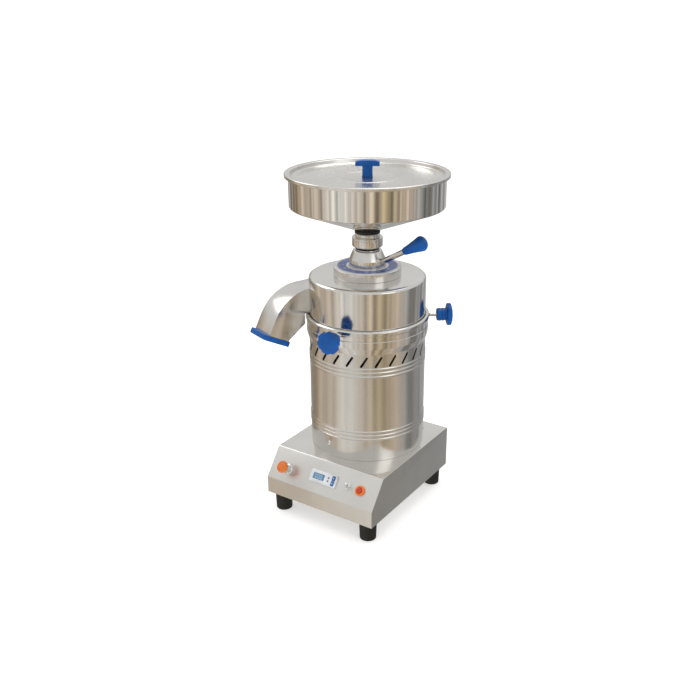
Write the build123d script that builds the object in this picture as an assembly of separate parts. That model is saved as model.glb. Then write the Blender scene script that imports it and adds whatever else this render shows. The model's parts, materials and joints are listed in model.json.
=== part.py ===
"""Bench-top electric stone mill: a steel base box with a sloped control panel, a vented motor drum, a lift-off
mill head with a tangential outlet chute, a grind adjuster with a lever, and a lidded feed hopper.
Millimetres, +Z up. The origin is on the shaft's axis, in the plane that the four feet stand on. The panel faces -Y."""

from build123d import *
import math
import os

# ---- driving dimensions -------------------------------------------------------------------------------------
SHEET = 2.0  # steel sheet of the base, the drum and the mill casing
TOUCH_GAP = 0.2  # between pieces that only rest against each other
RUN_GAP = 0.05  # radial running clearance

FOOT_HEIGHT = 43.0
FOOT_TOP_RADIUS = 19.5
FOOT_SOLE_RADIUS = 17.5
FOOT_INSET = 25.0  # from the base's edges to each foot's axis
FOOT_BOLT_RADIUS = 4.0

BASE_WIDTH = 272.0
BASE_HEIGHT = 95.0
BASE_FRONT_Y = -194.0
BASE_BACK_Y = 129.0
NOSE_HEIGHT = 37.5  # the low vertical front below the panel
PANEL_RUN = 45.0  # how far the panel leans back
BEND_RADIUS = 3.0

DRUM_RADIUS = 125.0
DRUM_HEIGHT = 266.0
BEAD_RADIUS = 1.6
UPPER_BEADS = (212.0, 203.5, 195.0)  # above the drum's foot
LOWER_BEADS = (68.0, 59.5, 51.0)
SLOT_COUNT = 26
SLOT_LENGTH = 27.0
SLOT_WIDTH = 5.0
SLOT_LEAN = 32.0
SLOT_ABOVE_FOOT = 228.0
DRUM_SCREW_COUNT = 3
DRUM_SCREW_ABOVE_FOOT = 29.0
DRUM_SCREW_ANGLE = -97.5

BED_LEDGE = 8.0  # thickness of the bed where the casing sits on it
BED_RAISE = 24.0
COLLAR_HEIGHT = 52.0
COLLAR_RADIUS = DRUM_RADIUS + 6.4
COLLAR_ABOVE_BED = 22.5
LIP_HEIGHT = 10.5

CASING_RADIUS = DRUM_RADIUS - 1.0  # inside the collar, with room for the three screws to bear on it
CASING_HEIGHT = 105.4
CASING_EDGE = 8.0
CASING_TOP = 3.0

CHUTE_ANGLE = 249.5  # the way the chute points, in plan
CHUTE_NEAR = 59.5  # its two side walls, measured from the shaft's axis
CHUTE_WIDTH = 59.0
CHUTE_WALL = 1.5
CHUTE_BEND = 98.0
CHUTE_TURN = 63.0
CHUTE_STRAIGHT = 44.0
CHUTE_DEPTH = 52.0  # at its mouth
CHUTE_BEND_START = 105.0
CHUTE_BELOW_TOP = 27.8
TRIM_HEIGHT = 11.0
TRIM_WALL = 2.5
TRIM_FAR = 5.0
TRIM_OUTSIDE = 11.0  # the edging's rim stands out past the chute's roof
TRIM_CORNER = 10.0

CLAMP_COUNT = 3
CLAMP_ANGLE = -83.0
CLAMP_BELOW_LIP = 12.0
CLAMP_ROD_RADIUS = 4.0
CLAMP_ROD_OUT = 17.0  # bare rod between the collar and the knob
KNOB_HUB_RADIUS = 14.0
KNOB_HUB_LENGTH = 22.0
KNOB_STAR_RADIUS = 24.0
KNOB_STAR_THICKNESS = 13.0
KNOB_LOBES = 6

SLEEVE_RADIUS = 24.0
SLEEVE_WALL = 2.8
BOSS_RADIUS = 71.6
BOSS_HEIGHT = 17.4
SCALE_THICKNESS = 1.6
JOURNAL_RADIUS = SLEEVE_RADIUS + 20.0
ADJUSTER_RADIUS = JOURNAL_RADIUS - 6.0
SCALE_INNER_RADIUS = ADJUSTER_RADIUS + 0.6
ADJUSTER_TOP_RADIUS = SLEEVE_RADIUS + 6.0
ADJUSTER_SKIRT = 16.5
ADJUSTER_HEIGHT = 37.0  # above the boss ring
LEVER_RADIUS = 6.0
LEVER_LENGTH = 66.0
LEVER_RISE = 29.5
LEVER_FOOT_ABOVE_BOSS = 13.0
GRIP_LENGTH = 56.0
GRIP_RADIUS = 16.0
GRIP_NECK_RADIUS = 8.0

SEAL_HEIGHT = 5.8
SEAL_RADIUS = SLEEVE_RADIUS + 1.0
FERRULE_RADIUS = SLEEVE_RADIUS + 2.0
FERRULE_HEIGHT = 35.0
FERRULE_BORE = SLEEVE_RADIUS - 4.7
FERRULE_PLUG = 30.0
NECK_COLLAR_RADIUS = FERRULE_RADIUS + 6.0
NECK_COLLAR_HEIGHT = 22.5

BOWL_RADIUS = 160.0
BOWL_WALL = 1.5
CONE_HEIGHT = 50.6
BOWL_HEIGHT = 63.9
RIM_ROLL = 2.2
LID_SHEET = 1.5
LID_PAN_RADIUS = BOWL_RADIUS - 5.0
LID_PAN_DEPTH = 11.0
LID_EDGE_RADIUS = BOWL_RADIUS + 8.0
LID_SKIRT = 5.5
LID_RING_RADIUS = 58.0
HANDLE_HEIGHT = 34.0
HANDLE_STEM_RADIUS = 9.5
HANDLE_BAR_LENGTH = 50.0
HANDLE_BAR_WIDTH = 15.0
HANDLE_BAR_HEIGHT = 11.0
HANDLE_TURN = 33.0

SHAFT_RADIUS = 12.0
MOTOR_RADIUS = 82.0
MOTOR_HEIGHT = 155.0
MOTOR_ABOVE_BASE = 52.0
FIN_COUNT = 24
FIN_DEPTH = 7.0
ROTOR_CORE_RADIUS = 45.0
STATOR_CORE_HEIGHT = 100.0
BELL_HEIGHT = 14.0
BEARING_RADIUS = 26.0
BALL_RADIUS = 3.4
BALL_COUNT = 9
FAN_RADIUS = 70.0
FAN_BLADES = 8

STONE_RADIUS = 90.0
STONE_THICKNESS = 20.0
STONE_GAP = 1.0
STONE_EYE = 26.0
FURROW_COUNT = 12
CHAMBER_GAP = 12.0  # between the rotor plate and the casing's outside
ROTOR_PLATE_RADIUS = CASING_RADIUS - CHAMBER_GAP
PADDLE_COUNT = 4

# ---- worked-out levels --------------------------------------------------------------------------------------
BASE_BOTTOM = FOOT_HEIGHT
BASE_TOP = BASE_BOTTOM + BASE_HEIGHT
NOSE_TOP = BASE_BOTTOM + NOSE_HEIGHT
PANEL_TOP_Y = BASE_FRONT_Y + PANEL_RUN
DRUM_TOP = BASE_TOP + DRUM_HEIGHT
LEDGE_TOP = DRUM_TOP + BED_LEDGE
BED_TOP = LEDGE_TOP + BED_RAISE
COLLAR_TOP = LEDGE_TOP + COLLAR_ABOVE_BED
COLLAR_BOTTOM = COLLAR_TOP - COLLAR_HEIGHT
COLLAR_BORE = DRUM_RADIUS + TOUCH_GAP
CLAMP_Z = COLLAR_TOP - CLAMP_BELOW_LIP
CASING_BOTTOM = LEDGE_TOP + TOUCH_GAP
CASING_TOP_Z = CASING_BOTTOM + CASING_HEIGHT
BED_RADIUS = CASING_RADIUS - SHEET - 1.0
BOSS_TOP = CASING_TOP_Z + BOSS_HEIGHT
SCALE_TOP = BOSS_TOP + SCALE_THICKNESS
ADJUSTER_TOP = BOSS_TOP + ADJUSTER_HEIGHT
SLEEVE_TOP = ADJUSTER_TOP
SEAL_TOP = SLEEVE_TOP + SEAL_HEIGHT
FERRULE_TOP = SEAL_TOP + FERRULE_HEIGHT
CONE_TOP = FERRULE_TOP + CONE_HEIGHT
BOWL_TOP = CONE_TOP + BOWL_HEIGHT
RIM_RADIUS = BOWL_RADIUS + RIM_ROLL - 0.4
LID_LIP_Z = BOWL_TOP + RIM_ROLL + TOUCH_GAP / 2
LID_TOP = LID_LIP_Z + LID_SHEET
LID_PAN_Z = LID_TOP - LID_PAN_DEPTH
PANEL_PITCH = math.degrees(math.atan2(BASE_HEIGHT - NOSE_HEIGHT, PANEL_RUN))

MOTOR_BOTTOM = BASE_TOP + MOTOR_ABOVE_BASE
MOTOR_TOP = MOTOR_BOTTOM + MOTOR_HEIGHT
BELL_TOP = MOTOR_TOP + BELL_HEIGHT
CORE_BOTTOM = MOTOR_BOTTOM + (MOTOR_HEIGHT - STATOR_CORE_HEIGHT) / 2
PLATE_Z = BED_TOP + 2.5
PLATE_THICKNESS = 7.5
RUNNER_Z = PLATE_Z + PLATE_THICKNESS
UPPER_STONE_Z = RUNNER_Z + STONE_THICKNESS + STONE_GAP
CARRIER_Z = UPPER_STONE_Z + STONE_THICKNESS
CARRIER_THICKNESS = 6.0

AXIS_UP = (0, 0, 1)


# ---- helpers ------------------------------------------------------------------------------------------------
def disc(radius, bottom, top, bore=0.0):
    """A round plate or ring about the shaft's axis."""
    solid = Pos(0, 0, bottom) * Cylinder(radius, top - bottom, align=(Align.CENTER, Align.CENTER, Align.MIN))
    if bore:
        solid -= Pos(0, 0, bottom - 1) * Cylinder(
            bore, top - bottom + 2, align=(Align.CENTER, Align.CENTER, Align.MIN)
        )
    return solid


def turned(points):
    """A closed outline of (radius, height) points turned about the shaft's axis."""
    outline = Polyline(*[(r, 0, z) for r, z in points], close=True)
    return revolve(make_face(outline), Axis.Z)


def ring_bead(radius, height, bead):
    return Pos(0, 0, height) * Torus(radius, bead)


def around(shape, count, first=0.0):
    """count copies of a shape, evenly spaced about the shaft's axis."""
    return [Rot(0, 0, first + 360.0 * k / count) * shape for k in range(count)]


def rim(shape, radius, height):
    """The round edges of that radius at that height."""
    circles = shape.edges().filter_by(GeomType.CIRCLE)
    return circles.filter_by(lambda e: abs(e.radius - radius) < 0.01 and abs(e.center().Z - height) < 0.01)


def radial(angle, radius, height):
    """A place whose Z axis points away from the shaft, at that plan angle."""
    return Rot(0, 0, angle) * Pos(radius, 0, height) * Rot(0, 90, 0)


def rod(radius, length):
    return Cylinder(radius, length, align=(Align.CENTER, Align.CENTER, Align.MIN))


def hex_bar(across, length):
    return extrude(RegularPolygon(across / 2, 6, major_radius=False), length)


def on_panel(x, up):
    """A place on the sloped panel, x across and up its slope, whose Z axis is the panel's outward normal."""
    origin = (x, BASE_FRONT_Y, NOSE_TOP)
    tilt = Location(Plane(origin=origin, x_dir=(1, 0, 0), z_dir=panel_normal()))
    return tilt * Pos(0, up, 0)


def panel_normal():
    lean = math.radians(PANEL_PITCH)
    return (0, -math.sin(lean), math.cos(lean))


PARTS = {}


def keep(name, shape):
    """Files a node's solid, or its list of solids, under the node's name."""
    solids = []
    for item in shape if isinstance(shape, list) else [shape]:
        solids += list(item.solids())
    PARTS[name] = solids[0] if len(solids) == 1 else Compound(children=solids)


# ---- base box -----------------------------------------------------------------------------------------------
DISPLAY_X = 2.0
DISPLAY_UP = 35.5
DISPLAY_WIDTH = 66.0
DISPLAY_HEIGHT = 27.0
DISPLAY_PROUD = 4.0
KEY_X = 27.0
KEY_WIDTH = 7.0
KEY_HEIGHT = 9.5
KEY_PITCH = 11.0
WINDOW_X = -12.0
WINDOW_WIDTH = 28.0
WINDOW_HEIGHT = 13.0
STOP_X = -91.0
STOP_UP = 29.0
STOP_HEAD_RADIUS = 13.0
STOP_HOLE_RADIUS = 8.0
TOGGLE_X = 62.0
TOGGLE_UP = 36.0
TOGGLE_HOLE_RADIUS = 6.0
START_X = 94.0
START_UP = 35.0
START_RADIUS = 11.0
START_HOLE_RADIUS = 8.0
GLAND_X = 80.0
GLAND_Z = 85.0
GLAND_HOLE_RADIUS = 8.0
GLAND_BORE = 4.5
SERVICE_HOLE_RADIUS = 28.0
FEET = [
    (sx * (BASE_WIDTH / 2 - FOOT_INSET), y)
    for sx in (-1, 1)
    for y in (BASE_FRONT_Y + FOOT_INSET, BASE_BACK_Y - FOOT_INSET)
]


def base_outline(inset, bottom):
    """The base box's side outline in the YZ plane, with its walls set in by inset."""
    lean = math.radians(PANEL_PITCH)
    nose_y = BASE_FRONT_Y + inset
    nose_z = NOSE_TOP - inset * (1 - math.cos(lean)) / math.sin(lean)
    top_y = PANEL_TOP_Y + inset * (1 - math.cos(lean)) / math.sin(lean)
    points = [
        (0, nose_y, bottom),
        (0, nose_y, nose_z),
        (0, top_y, BASE_TOP - inset),
        (0, BASE_BACK_Y - inset, BASE_TOP - inset),
        (0, BASE_BACK_Y - inset, bottom),
    ]
    return make_face(Polyline(*points, close=True))


def make_base_housing():
    outer = extrude(base_outline(0, BASE_BOTTOM), BASE_WIDTH / 2, both=True, dir=(1, 0, 0))
    outer = fillet(outer.edges().filter_by(Axis.X).sort_by(Axis.Z)[-3:], BEND_RADIUS)
    inner = extrude(base_outline(SHEET, BASE_BOTTOM - 1), BASE_WIDTH / 2 - SHEET, both=True, dir=(1, 0, 0))
    box = outer - inner
    box -= disc(SERVICE_HOLE_RADIUS, BASE_TOP - 2 * SHEET, BASE_TOP + 1)
    through = 4 * SHEET
    for x, up, radius in (
        (STOP_X, STOP_UP, STOP_HOLE_RADIUS),
        (TOGGLE_X, TOGGLE_UP, TOGGLE_HOLE_RADIUS),
        (START_X, START_UP, START_HOLE_RADIUS),
    ):
        box -= on_panel(x, up) * Cylinder(radius, through)
    box -= on_panel(DISPLAY_X, DISPLAY_UP) * Box(DISPLAY_WIDTH - 6, DISPLAY_HEIGHT - 5, through)
    box -= Pos(GLAND_X, BASE_BACK_Y, GLAND_Z) * Rot(90, 0, 0) * Cylinder(GLAND_HOLE_RADIUS, through)
    for lug in drum_lugs():
        box += lug
    return box


def make_bottom_plate():
    gap = SHEET + TOUCH_GAP
    depth = BASE_BACK_Y - BASE_FRONT_Y - 2 * gap
    centre_y = (BASE_BACK_Y + BASE_FRONT_Y) / 2
    plate = Pos(0, centre_y, BASE_BOTTOM + SHEET / 2) * Box(BASE_WIDTH - 2 * gap, depth, SHEET)
    for x, y in FEET:
        plate -= Pos(x, y, BASE_BOTTOM) * Cylinder(FOOT_BOLT_RADIUS + 0.5, 4 * SHEET)
    for row in range(-2, 3):
        slot = extrude(SlotOverall(70, 5), 4 * SHEET)
        plate -= Pos(0, centre_y + 16 * row, BASE_BOTTOM - SHEET) * slot
    return plate


def make_feet():
    feet, fixings = [], []
    recess = 12.0
    head_height = 6.0
    for x, y in FEET:
        foot = Cone(
            FOOT_SOLE_RADIUS, FOOT_TOP_RADIUS, FOOT_HEIGHT, align=(Align.CENTER, Align.CENTER, Align.MIN)
        )
        foot = fillet(foot.edges().sort_by(Axis.Z)[0], 2.5)
        foot -= rod(FOOT_BOLT_RADIUS + TOUCH_GAP, FOOT_HEIGHT)
        foot -= rod(9.0, recess)
        bolt = Pos(0, 0, recess - head_height) * hex_bar(13, head_height)
        bolt += Pos(0, 0, recess) * rod(FOOT_BOLT_RADIUS, FOOT_HEIGHT - recess + SHEET + 9)
        nut = hex_bar(13, 6.5) - Pos(0, 0, -1) * rod(FOOT_BOLT_RADIUS + RUN_GAP, 10)
        feet.append(Pos(x, y, 0) * foot)
        fixings.append(Pos(x, y, 0) * bolt)
        fixings.append(Pos(x, y, BASE_BOTTOM + SHEET) * nut)
    keep("rubber_feet", feet)
    keep("foot_bolts_and_nuts", fixings)


# ---- control panel ------------------------------------------------------------------------------------------
def make_display():
    bezel = Pos(0, 0, DISPLAY_PROUD / 2) * Box(DISPLAY_WIDTH, DISPLAY_HEIGHT, DISPLAY_PROUD)
    bezel = fillet(bezel.edges().filter_by(Axis.Z), 2.0)
    bezel = fillet(bezel.edges().group_by(Axis.Z)[-1], 0.8)
    body_width, body_height, body_depth = DISPLAY_WIDTH - 6.6, DISPLAY_HEIGHT - 5.6, 18.0
    bezel += Pos(0, 0, -body_depth / 2) * Box(body_width, body_height, body_depth)
    window_depth = 1.2
    bezel -= Pos(WINDOW_X, 0, DISPLAY_PROUD) * Box(WINDOW_WIDTH, WINDOW_HEIGHT, 2 * window_depth)
    key_depth = 5.0
    keys = []
    for k in (-1, 1):
        place = Pos(KEY_X - DISPLAY_X, k * KEY_PITCH / 2, DISPLAY_PROUD)
        bezel -= place * Box(KEY_WIDTH + 2 * TOUCH_GAP, KEY_HEIGHT + 2 * TOUCH_GAP, 2 * key_depth)
        key = Box(KEY_WIDTH, KEY_HEIGHT, key_depth, align=(Align.CENTER, Align.CENTER, Align.MIN))
        key = fillet(key.edges().group_by(Axis.Z)[-1], 0.6)
        keys.append(Pos(KEY_X - DISPLAY_X, k * KEY_PITCH / 2, DISPLAY_PROUD + 1.2 - key_depth) * key)
    window = Pos(WINDOW_X, 0, DISPLAY_PROUD - window_depth / 2) * Box(
        WINDOW_WIDTH - 0.2, WINDOW_HEIGHT - 0.2, window_depth - 0.1
    )
    place = on_panel(DISPLAY_X, DISPLAY_UP)
    keep("display_housing", place * bezel)
    keep("display_window", place * window)
    keep("display_key_up", place * keys[1])
    keep("display_key_down", place * keys[0])


STOP_COLLAR_HEIGHT = 17.0
STOP_TRAVEL = 4.0
START_COLLAR_HEIGHT = 5.0


def make_buttons():
    stop = on_panel(STOP_X, STOP_UP)
    collar = rod(11.5, 3.0) + rod(8.6, STOP_COLLAR_HEIGHT) + Pos(0, 0, -16) * rod(STOP_HOLE_RADIUS - TOUCH_GAP, 16)
    stem_bore = 5.2
    collar -= Pos(0, 0, -6) * rod(stem_bore, 40)
    collar = fillet(collar.edges().filter_by(GeomType.CIRCLE).group_by(Axis.Z)[-1], 0.6)
    keep("stop_button_collar", stop * collar)
    head = Pos(0, 0, STOP_COLLAR_HEIGHT + STOP_TRAVEL + 0.8) * rod(STOP_HEAD_RADIUS, 7.0)
    head = fillet(head.edges().group_by(Axis.Z)[-1], 2.2)
    head = fillet(head.edges().group_by(Axis.Z)[0], 0.8)
    head += Pos(0, 0, -1.4) * rod(stem_bore - TOUCH_GAP, STOP_COLLAR_HEIGHT + STOP_TRAVEL + 3)
    keep("stop_button_head", stop * head)

    start = on_panel(START_X, START_UP)
    bezel = rod(START_RADIUS, START_COLLAR_HEIGHT) + Pos(0, 0, -16) * rod(START_HOLE_RADIUS - TOUCH_GAP, 16)
    bezel -= Pos(0, 0, -6) * rod(6.2, 20)
    bezel = fillet(bezel.edges().filter_by(GeomType.CIRCLE).group_by(Axis.Z)[-1][-1], 1.2)
    keep("start_button_bezel", start * bezel)
    cap = Pos(0, 0, -1) * rod(6.0, START_COLLAR_HEIGHT + 3.0)
    cap = fillet(cap.edges().group_by(Axis.Z)[-1], 0.8)
    keep("start_button_cap", start * cap)

    blocks = []
    for x, up in ((STOP_X, STOP_UP), (START_X, START_UP)):
        blocks.append(on_panel(x, up) * Pos(0, 0, -26) * Box(18, 24, 19.8))
    blocks.append(on_panel(TOGGLE_X, TOGGLE_UP) * Pos(0, 0, -20.2) * Box(13, 20, 20))
    keep("switch_bodies", blocks)


TOGGLE_BALL_UP = 3.0


def make_toggle():
    place = on_panel(TOGGLE_X, TOGGLE_UP)
    nut = hex_bar(16, 2.6) + Pos(0, 0, 2.6) * rod(TOGGLE_HOLE_RADIUS - 0.3, 3.4)
    nut += Pos(0, 0, -10) * rod(TOGGLE_HOLE_RADIUS - TOUCH_GAP, 10)
    nut -= Pos(0, 0, TOGGLE_BALL_UP) * Sphere(3.6)
    nut -= Pos(0, 0, TOGGLE_BALL_UP) * Cone(
        2.0, 5.2, 3.2, align=(Align.CENTER, Align.CENTER, Align.MIN)
    )
    keep("toggle_bushing", place * nut)
    lever = Sphere(3.3) + Cone(1.6, 3.0, 14, align=(Align.CENTER, Align.CENTER, Align.MIN))
    pivot_pin = Rot(90, 0, 0) * Cylinder(0.9, 6.9)
    lever += pivot_pin
    lever += Pos(0, 0, 14) * Sphere(3.0)
    keep("toggle_lever", place * Pos(0, 0, TOGGLE_BALL_UP) * Rot(0, 14, 0) * lever)


def make_electrics():
    """The speed controller stands on the bottom plate; the cable gland is in the back wall."""
    floor = BASE_BOTTOM + SHEET
    standoff = 8.0
    corners = [(sx * 45, -40 + sy * 35) for sx in (-1, 1) for sy in (-1, 1)]
    board = Pos(0, -40, floor + standoff + 1) * Box(104, 84, 2)
    for x, y in corners:
        board += Pos(x, y, floor) * rod(4, standoff)
    board += Pos(0, -40, floor + standoff + 2 + 4) * Box(80, 60, 8)
    for k in range(-4, 5):
        board += Pos(9 * k, -40, floor + standoff + 2 + 8 + 9) * Box(2.5, 60, 18)
    keep("speed_controller", board)
    gland = rod(12, 4) + Pos(0, 0, 4) * hex_bar(19, 8) + Pos(0, 0, 12) * Cone(
        9.5, 6.5, 9, align=(Align.CENTER, Align.CENTER, Align.MIN)
    )
    gland += Pos(0, 0, -9) * rod(GLAND_HOLE_RADIUS - TOUCH_GAP, 9)
    gland -= Pos(0, 0, -10) * rod(GLAND_BORE, 40)
    place = Pos(GLAND_X, BASE_BACK_Y, GLAND_Z) * Rot(-90, 0, 0)
    keep("cable_gland", place * gland)


# ---- motor drum ---------------------------------------------------------------------------------------------
def make_drum():
    drum = disc(DRUM_RADIUS, BASE_TOP, DRUM_TOP, DRUM_RADIUS - SHEET)
    for height in UPPER_BEADS + LOWER_BEADS:
        drum += ring_bead(DRUM_RADIUS - 0.4, BASE_TOP + height, BEAD_RADIUS)
    slot = extrude(Rot(0, 0, -SLOT_LEAN) * SlotOverall(SLOT_LENGTH, SLOT_WIDTH, rotation=90), 12)
    slot_at = Pos(DRUM_RADIUS - 6, 0, BASE_TOP + SLOT_ABOVE_FOOT) * Rot(0, 90, 0) * Rot(0, 0, 90)
    drum -= around(slot_at * slot, SLOT_COUNT, first=-90.0)
    hole = radial(0, DRUM_RADIUS - 6, BASE_TOP + DRUM_SCREW_ABOVE_FOOT) * rod(2.6, 12)
    drum -= around(hole, DRUM_SCREW_COUNT, first=DRUM_SCREW_ANGLE)
    return drum


def make_drum_screws():
    screw = rod(4.6, 2.4)
    screw = fillet(screw.edges().group_by(Axis.Z)[-1], 1.4)
    screw += Pos(0, 0, -9) * rod(2.5, 9)
    seat = radial(0, DRUM_RADIUS + 0.1, BASE_TOP + DRUM_SCREW_ABOVE_FOOT)
    keep("drum_screws", around(seat * screw, DRUM_SCREW_COUNT, first=DRUM_SCREW_ANGLE))


def drum_lugs():
    """Blocks welded to the top of the base, just inside the drum, that its screws go into."""
    ring_radius = DRUM_RADIUS - SHEET - TOUCH_GAP
    lug_height = 40.0
    lug = Pos(ring_radius - 3, 0, BASE_TOP + lug_height / 2) * Box(10, 24, lug_height)
    lug &= disc(ring_radius, BASE_TOP, BASE_TOP + lug_height)
    lug -= radial(0, ring_radius - 12, BASE_TOP + DRUM_SCREW_ABOVE_FOOT) * rod(2.5, 20)
    return around(lug, DRUM_SCREW_COUNT, first=DRUM_SCREW_ANGLE)


def make_bed():
    """The cast bed: its ledge carries the casing, its raised middle is the floor of the milling chamber."""
    bed = disc(DRUM_RADIUS, DRUM_TOP, LEDGE_TOP)
    bed += disc(BED_RADIUS, LEDGE_TOP, BED_TOP)
    bed = chamfer(bed.edges().group_by(Axis.Z)[-1], 1.5)
    bed -= disc(SEAL_SEAT_RADIUS, BED_TOP - SEAL_SEAT_DEPTH, BED_TOP + 1)
    bed -= disc(SHAFT_RADIUS + 3, DRUM_TOP - 1, BED_TOP)
    groove = disc(BED_RADIUS + 1, BED_TOP - 9, BED_TOP - 6, BED_RADIUS - 2)
    bed -= groove
    for bolt in motor_bolt_places(0):
        bed -= bolt * Pos(0, 0, DRUM_TOP - 1) * rod(4.2, 15)
    return bed


SEAL_SEAT_RADIUS = 21.0
SEAL_SEAT_DEPTH = 8.0
LANTERN_RADIUS = 98.0
LANTERN_WALL = 14.0
MOTOR_BOLT_CIRCLE = 91.0
MOTOR_BOLT_COUNT = 4


def motor_bolt_places(first):
    return [
        Rot(0, 0, 45 + first + 360.0 * k / MOTOR_BOLT_COUNT) * Pos(MOTOR_BOLT_CIRCLE, 0, 0)
        for k in range(MOTOR_BOLT_COUNT)
    ]


def make_collar():
    taper = 14.0
    waist = COLLAR_RADIUS - 1.2
    lip_bottom = COLLAR_TOP - LIP_HEIGHT
    collar = turned(
        [
            (COLLAR_BORE, COLLAR_BOTTOM),
            (COLLAR_BORE + 0.8, COLLAR_BOTTOM),
            (waist, COLLAR_BOTTOM + taper),
            (waist, lip_bottom - 12.6),
            (waist - 0.6, lip_bottom - 12.0),
            (waist, lip_bottom - 11.4),
            (waist, lip_bottom),
            (COLLAR_RADIUS + 0.4, lip_bottom),
            (COLLAR_RADIUS + 0.4, COLLAR_TOP),
            (COLLAR_BORE, COLLAR_TOP),
        ]
    )
    collar = fillet(rim(collar, COLLAR_RADIUS + 0.4, COLLAR_TOP), 4.0)
    collar = fillet(rim(collar, COLLAR_RADIUS + 0.4, lip_bottom), 1.4)
    for k in range(CLAMP_COUNT):
        collar -= clamp_place(k, COLLAR_BORE - 3) * rod(CLAMP_ROD_RADIUS + RUN_GAP, 14)
    return collar


# ---- mill head ----------------------------------------------------------------------------------------------
def clamp_place(k, radius):
    return radial(CLAMP_ANGLE + 360.0 * k / CLAMP_COUNT, radius, CLAMP_Z)


def chute_outline(inset):
    """The chute's side outline: X runs out along the chute, Y is height. The bend is one arc."""
    roof = CASING_TOP_Z - CHUTE_BELOW_TOP
    turn = math.radians(CHUTE_TURN)
    bend = CHUTE_BEND - inset
    centre = (CHUTE_BEND_START, roof - CHUTE_BEND)
    start = (centre[0], centre[1] + bend)
    middle = (centre[0] + bend * math.sin(turn / 2), centre[1] + bend * math.cos(turn / 2))
    end = (centre[0] + bend * math.sin(turn), centre[1] + bend * math.cos(turn))
    run = CHUTE_STRAIGHT + (5 if inset else 0)
    mouth_out = (end[0] + run * math.cos(turn), end[1] - run * math.sin(turn))
    depth = CHUTE_DEPTH - 2 * inset
    mouth_in = (mouth_out[0] - depth * math.sin(turn), mouth_out[1] - depth * math.cos(turn))
    clear = COLLAR_RADIUS + 2.0
    out_past_collar = math.sqrt(clear**2 - CHUTE_NEAR**2) + inset
    floor = COLLAR_TOP + 1.5 + inset
    knee = (out_past_collar, LEDGE_TOP + 2.0)
    straight = TRIM_HEIGHT + 2.0
    mouth_lip = (mouth_in[0] - straight * math.cos(turn), mouth_in[1] + straight * math.sin(turn))
    inner_start = (5.0, floor)
    edges = [
        Line((5.0, start[1]), start),
        ThreePointArc(start, middle, end),
        Line(end, mouth_out),
        Line(mouth_out, mouth_in),
        Line(mouth_in, mouth_lip),
        Line(mouth_lip, knee),
        Line(knee, (out_past_collar, floor)),
        Line((out_past_collar, floor), inner_start),
        Line(inner_start, (5.0, start[1])),
    ]
    return make_face(edges)


def chute_solid(inset):
    """The chute's outline given its width. It stands beside the shaft's axis, so it leaves the casing at a tangent."""
    side = Plane(origin=(0, 0, 0), x_dir=(1, 0, 0), z_dir=(0, -1, 0))
    width = CHUTE_WIDTH - 2 * inset
    block = extrude(side * chute_outline(inset), width)
    return Rot(0, 0, CHUTE_ANGLE) * Pos(0, -CHUTE_NEAR - inset, 0) * block


def make_chute():
    chute = chute_solid(0) - chute_solid(CHUTE_WALL)
    chute -= disc(CASING_RADIUS + RUN_GAP, LEDGE_TOP - 5, CASING_TOP_Z + 1)
    return chute.solids().sort_by(SortBy.VOLUME)[-1]


def mouth_place():
    """The middle of the chute's mouth, with Z pointing out of it and X across its width."""
    roof = CASING_TOP_Z - CHUTE_BELOW_TOP
    turn = math.radians(CHUTE_TURN)
    end = (
        CHUTE_BEND_START + CHUTE_BEND * math.sin(turn),
        roof - CHUTE_BEND + CHUTE_BEND * math.cos(turn),
    )
    out = end[0] + CHUTE_STRAIGHT * math.cos(turn) - CHUTE_DEPTH / 2 * math.sin(turn)
    high = end[1] - CHUTE_STRAIGHT * math.sin(turn) - CHUTE_DEPTH / 2 * math.cos(turn)
    away = (math.cos(turn), 0, -math.sin(turn))
    plane = Plane(origin=(out, -CHUTE_NEAR - CHUTE_WIDTH / 2, high), x_dir=(0, 1, 0), z_dir=away)
    return Rot(0, 0, CHUTE_ANGLE) * Location(plane)


def make_chute_trim():
    """A blue plastic edging pushed over the mouth, with a wider rim past the chute's roof."""
    gap = 0.1
    width = CHUTE_WIDTH + TRIM_WALL + TRIM_FAR
    depth = CHUTE_DEPTH + TRIM_WALL + TRIM_OUTSIDE
    outer = Pos((TRIM_WALL - TRIM_FAR) / 2, (TRIM_OUTSIDE - TRIM_WALL) / 2, 0) * Box(width, depth, TRIM_HEIGHT)
    corners = outer.edges().filter_by(Axis.Z).sort_by(Axis.Y)
    outer = fillet(corners[:2], 2.0)
    outer = fillet(outer.edges().filter_by(Axis.Z).sort_by(Axis.Y)[-2:], TRIM_CORNER)
    outer = fillet(outer.edges().group_by(Axis.Z)[0] + outer.edges().group_by(Axis.Z)[-1], 0.8)
    sleeve = Pos(0, 0, -1.5) * Box(CHUTE_WIDTH + 2 * gap, CHUTE_DEPTH + 2 * gap, TRIM_HEIGHT)
    opening = Box(CHUTE_WIDTH - 2 * CHUTE_WALL, CHUTE_DEPTH - 2 * CHUTE_WALL, 2 * TRIM_HEIGHT)
    return mouth_place() * Pos(0, 0, 1.6 - TRIM_HEIGHT / 2) * (outer - sleeve - opening)


def make_casing():
    casing = disc(CASING_RADIUS, CASING_BOTTOM, CASING_TOP_Z)
    casing = fillet(casing.edges().group_by(Axis.Z)[-1], CASING_EDGE)
    cavity = disc(CASING_RADIUS - SHEET, CASING_BOTTOM - 1, CASING_TOP_Z - CASING_TOP)
    cavity = fillet(cavity.edges().group_by(Axis.Z)[-1], CASING_EDGE - SHEET)
    casing -= cavity
    casing -= disc(SLEEVE_RADIUS + 12, CASING_TOP_Z - 2 * CASING_TOP, CASING_TOP_Z + 1)
    casing -= chute_solid(CHUTE_WALL)
    return casing


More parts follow.
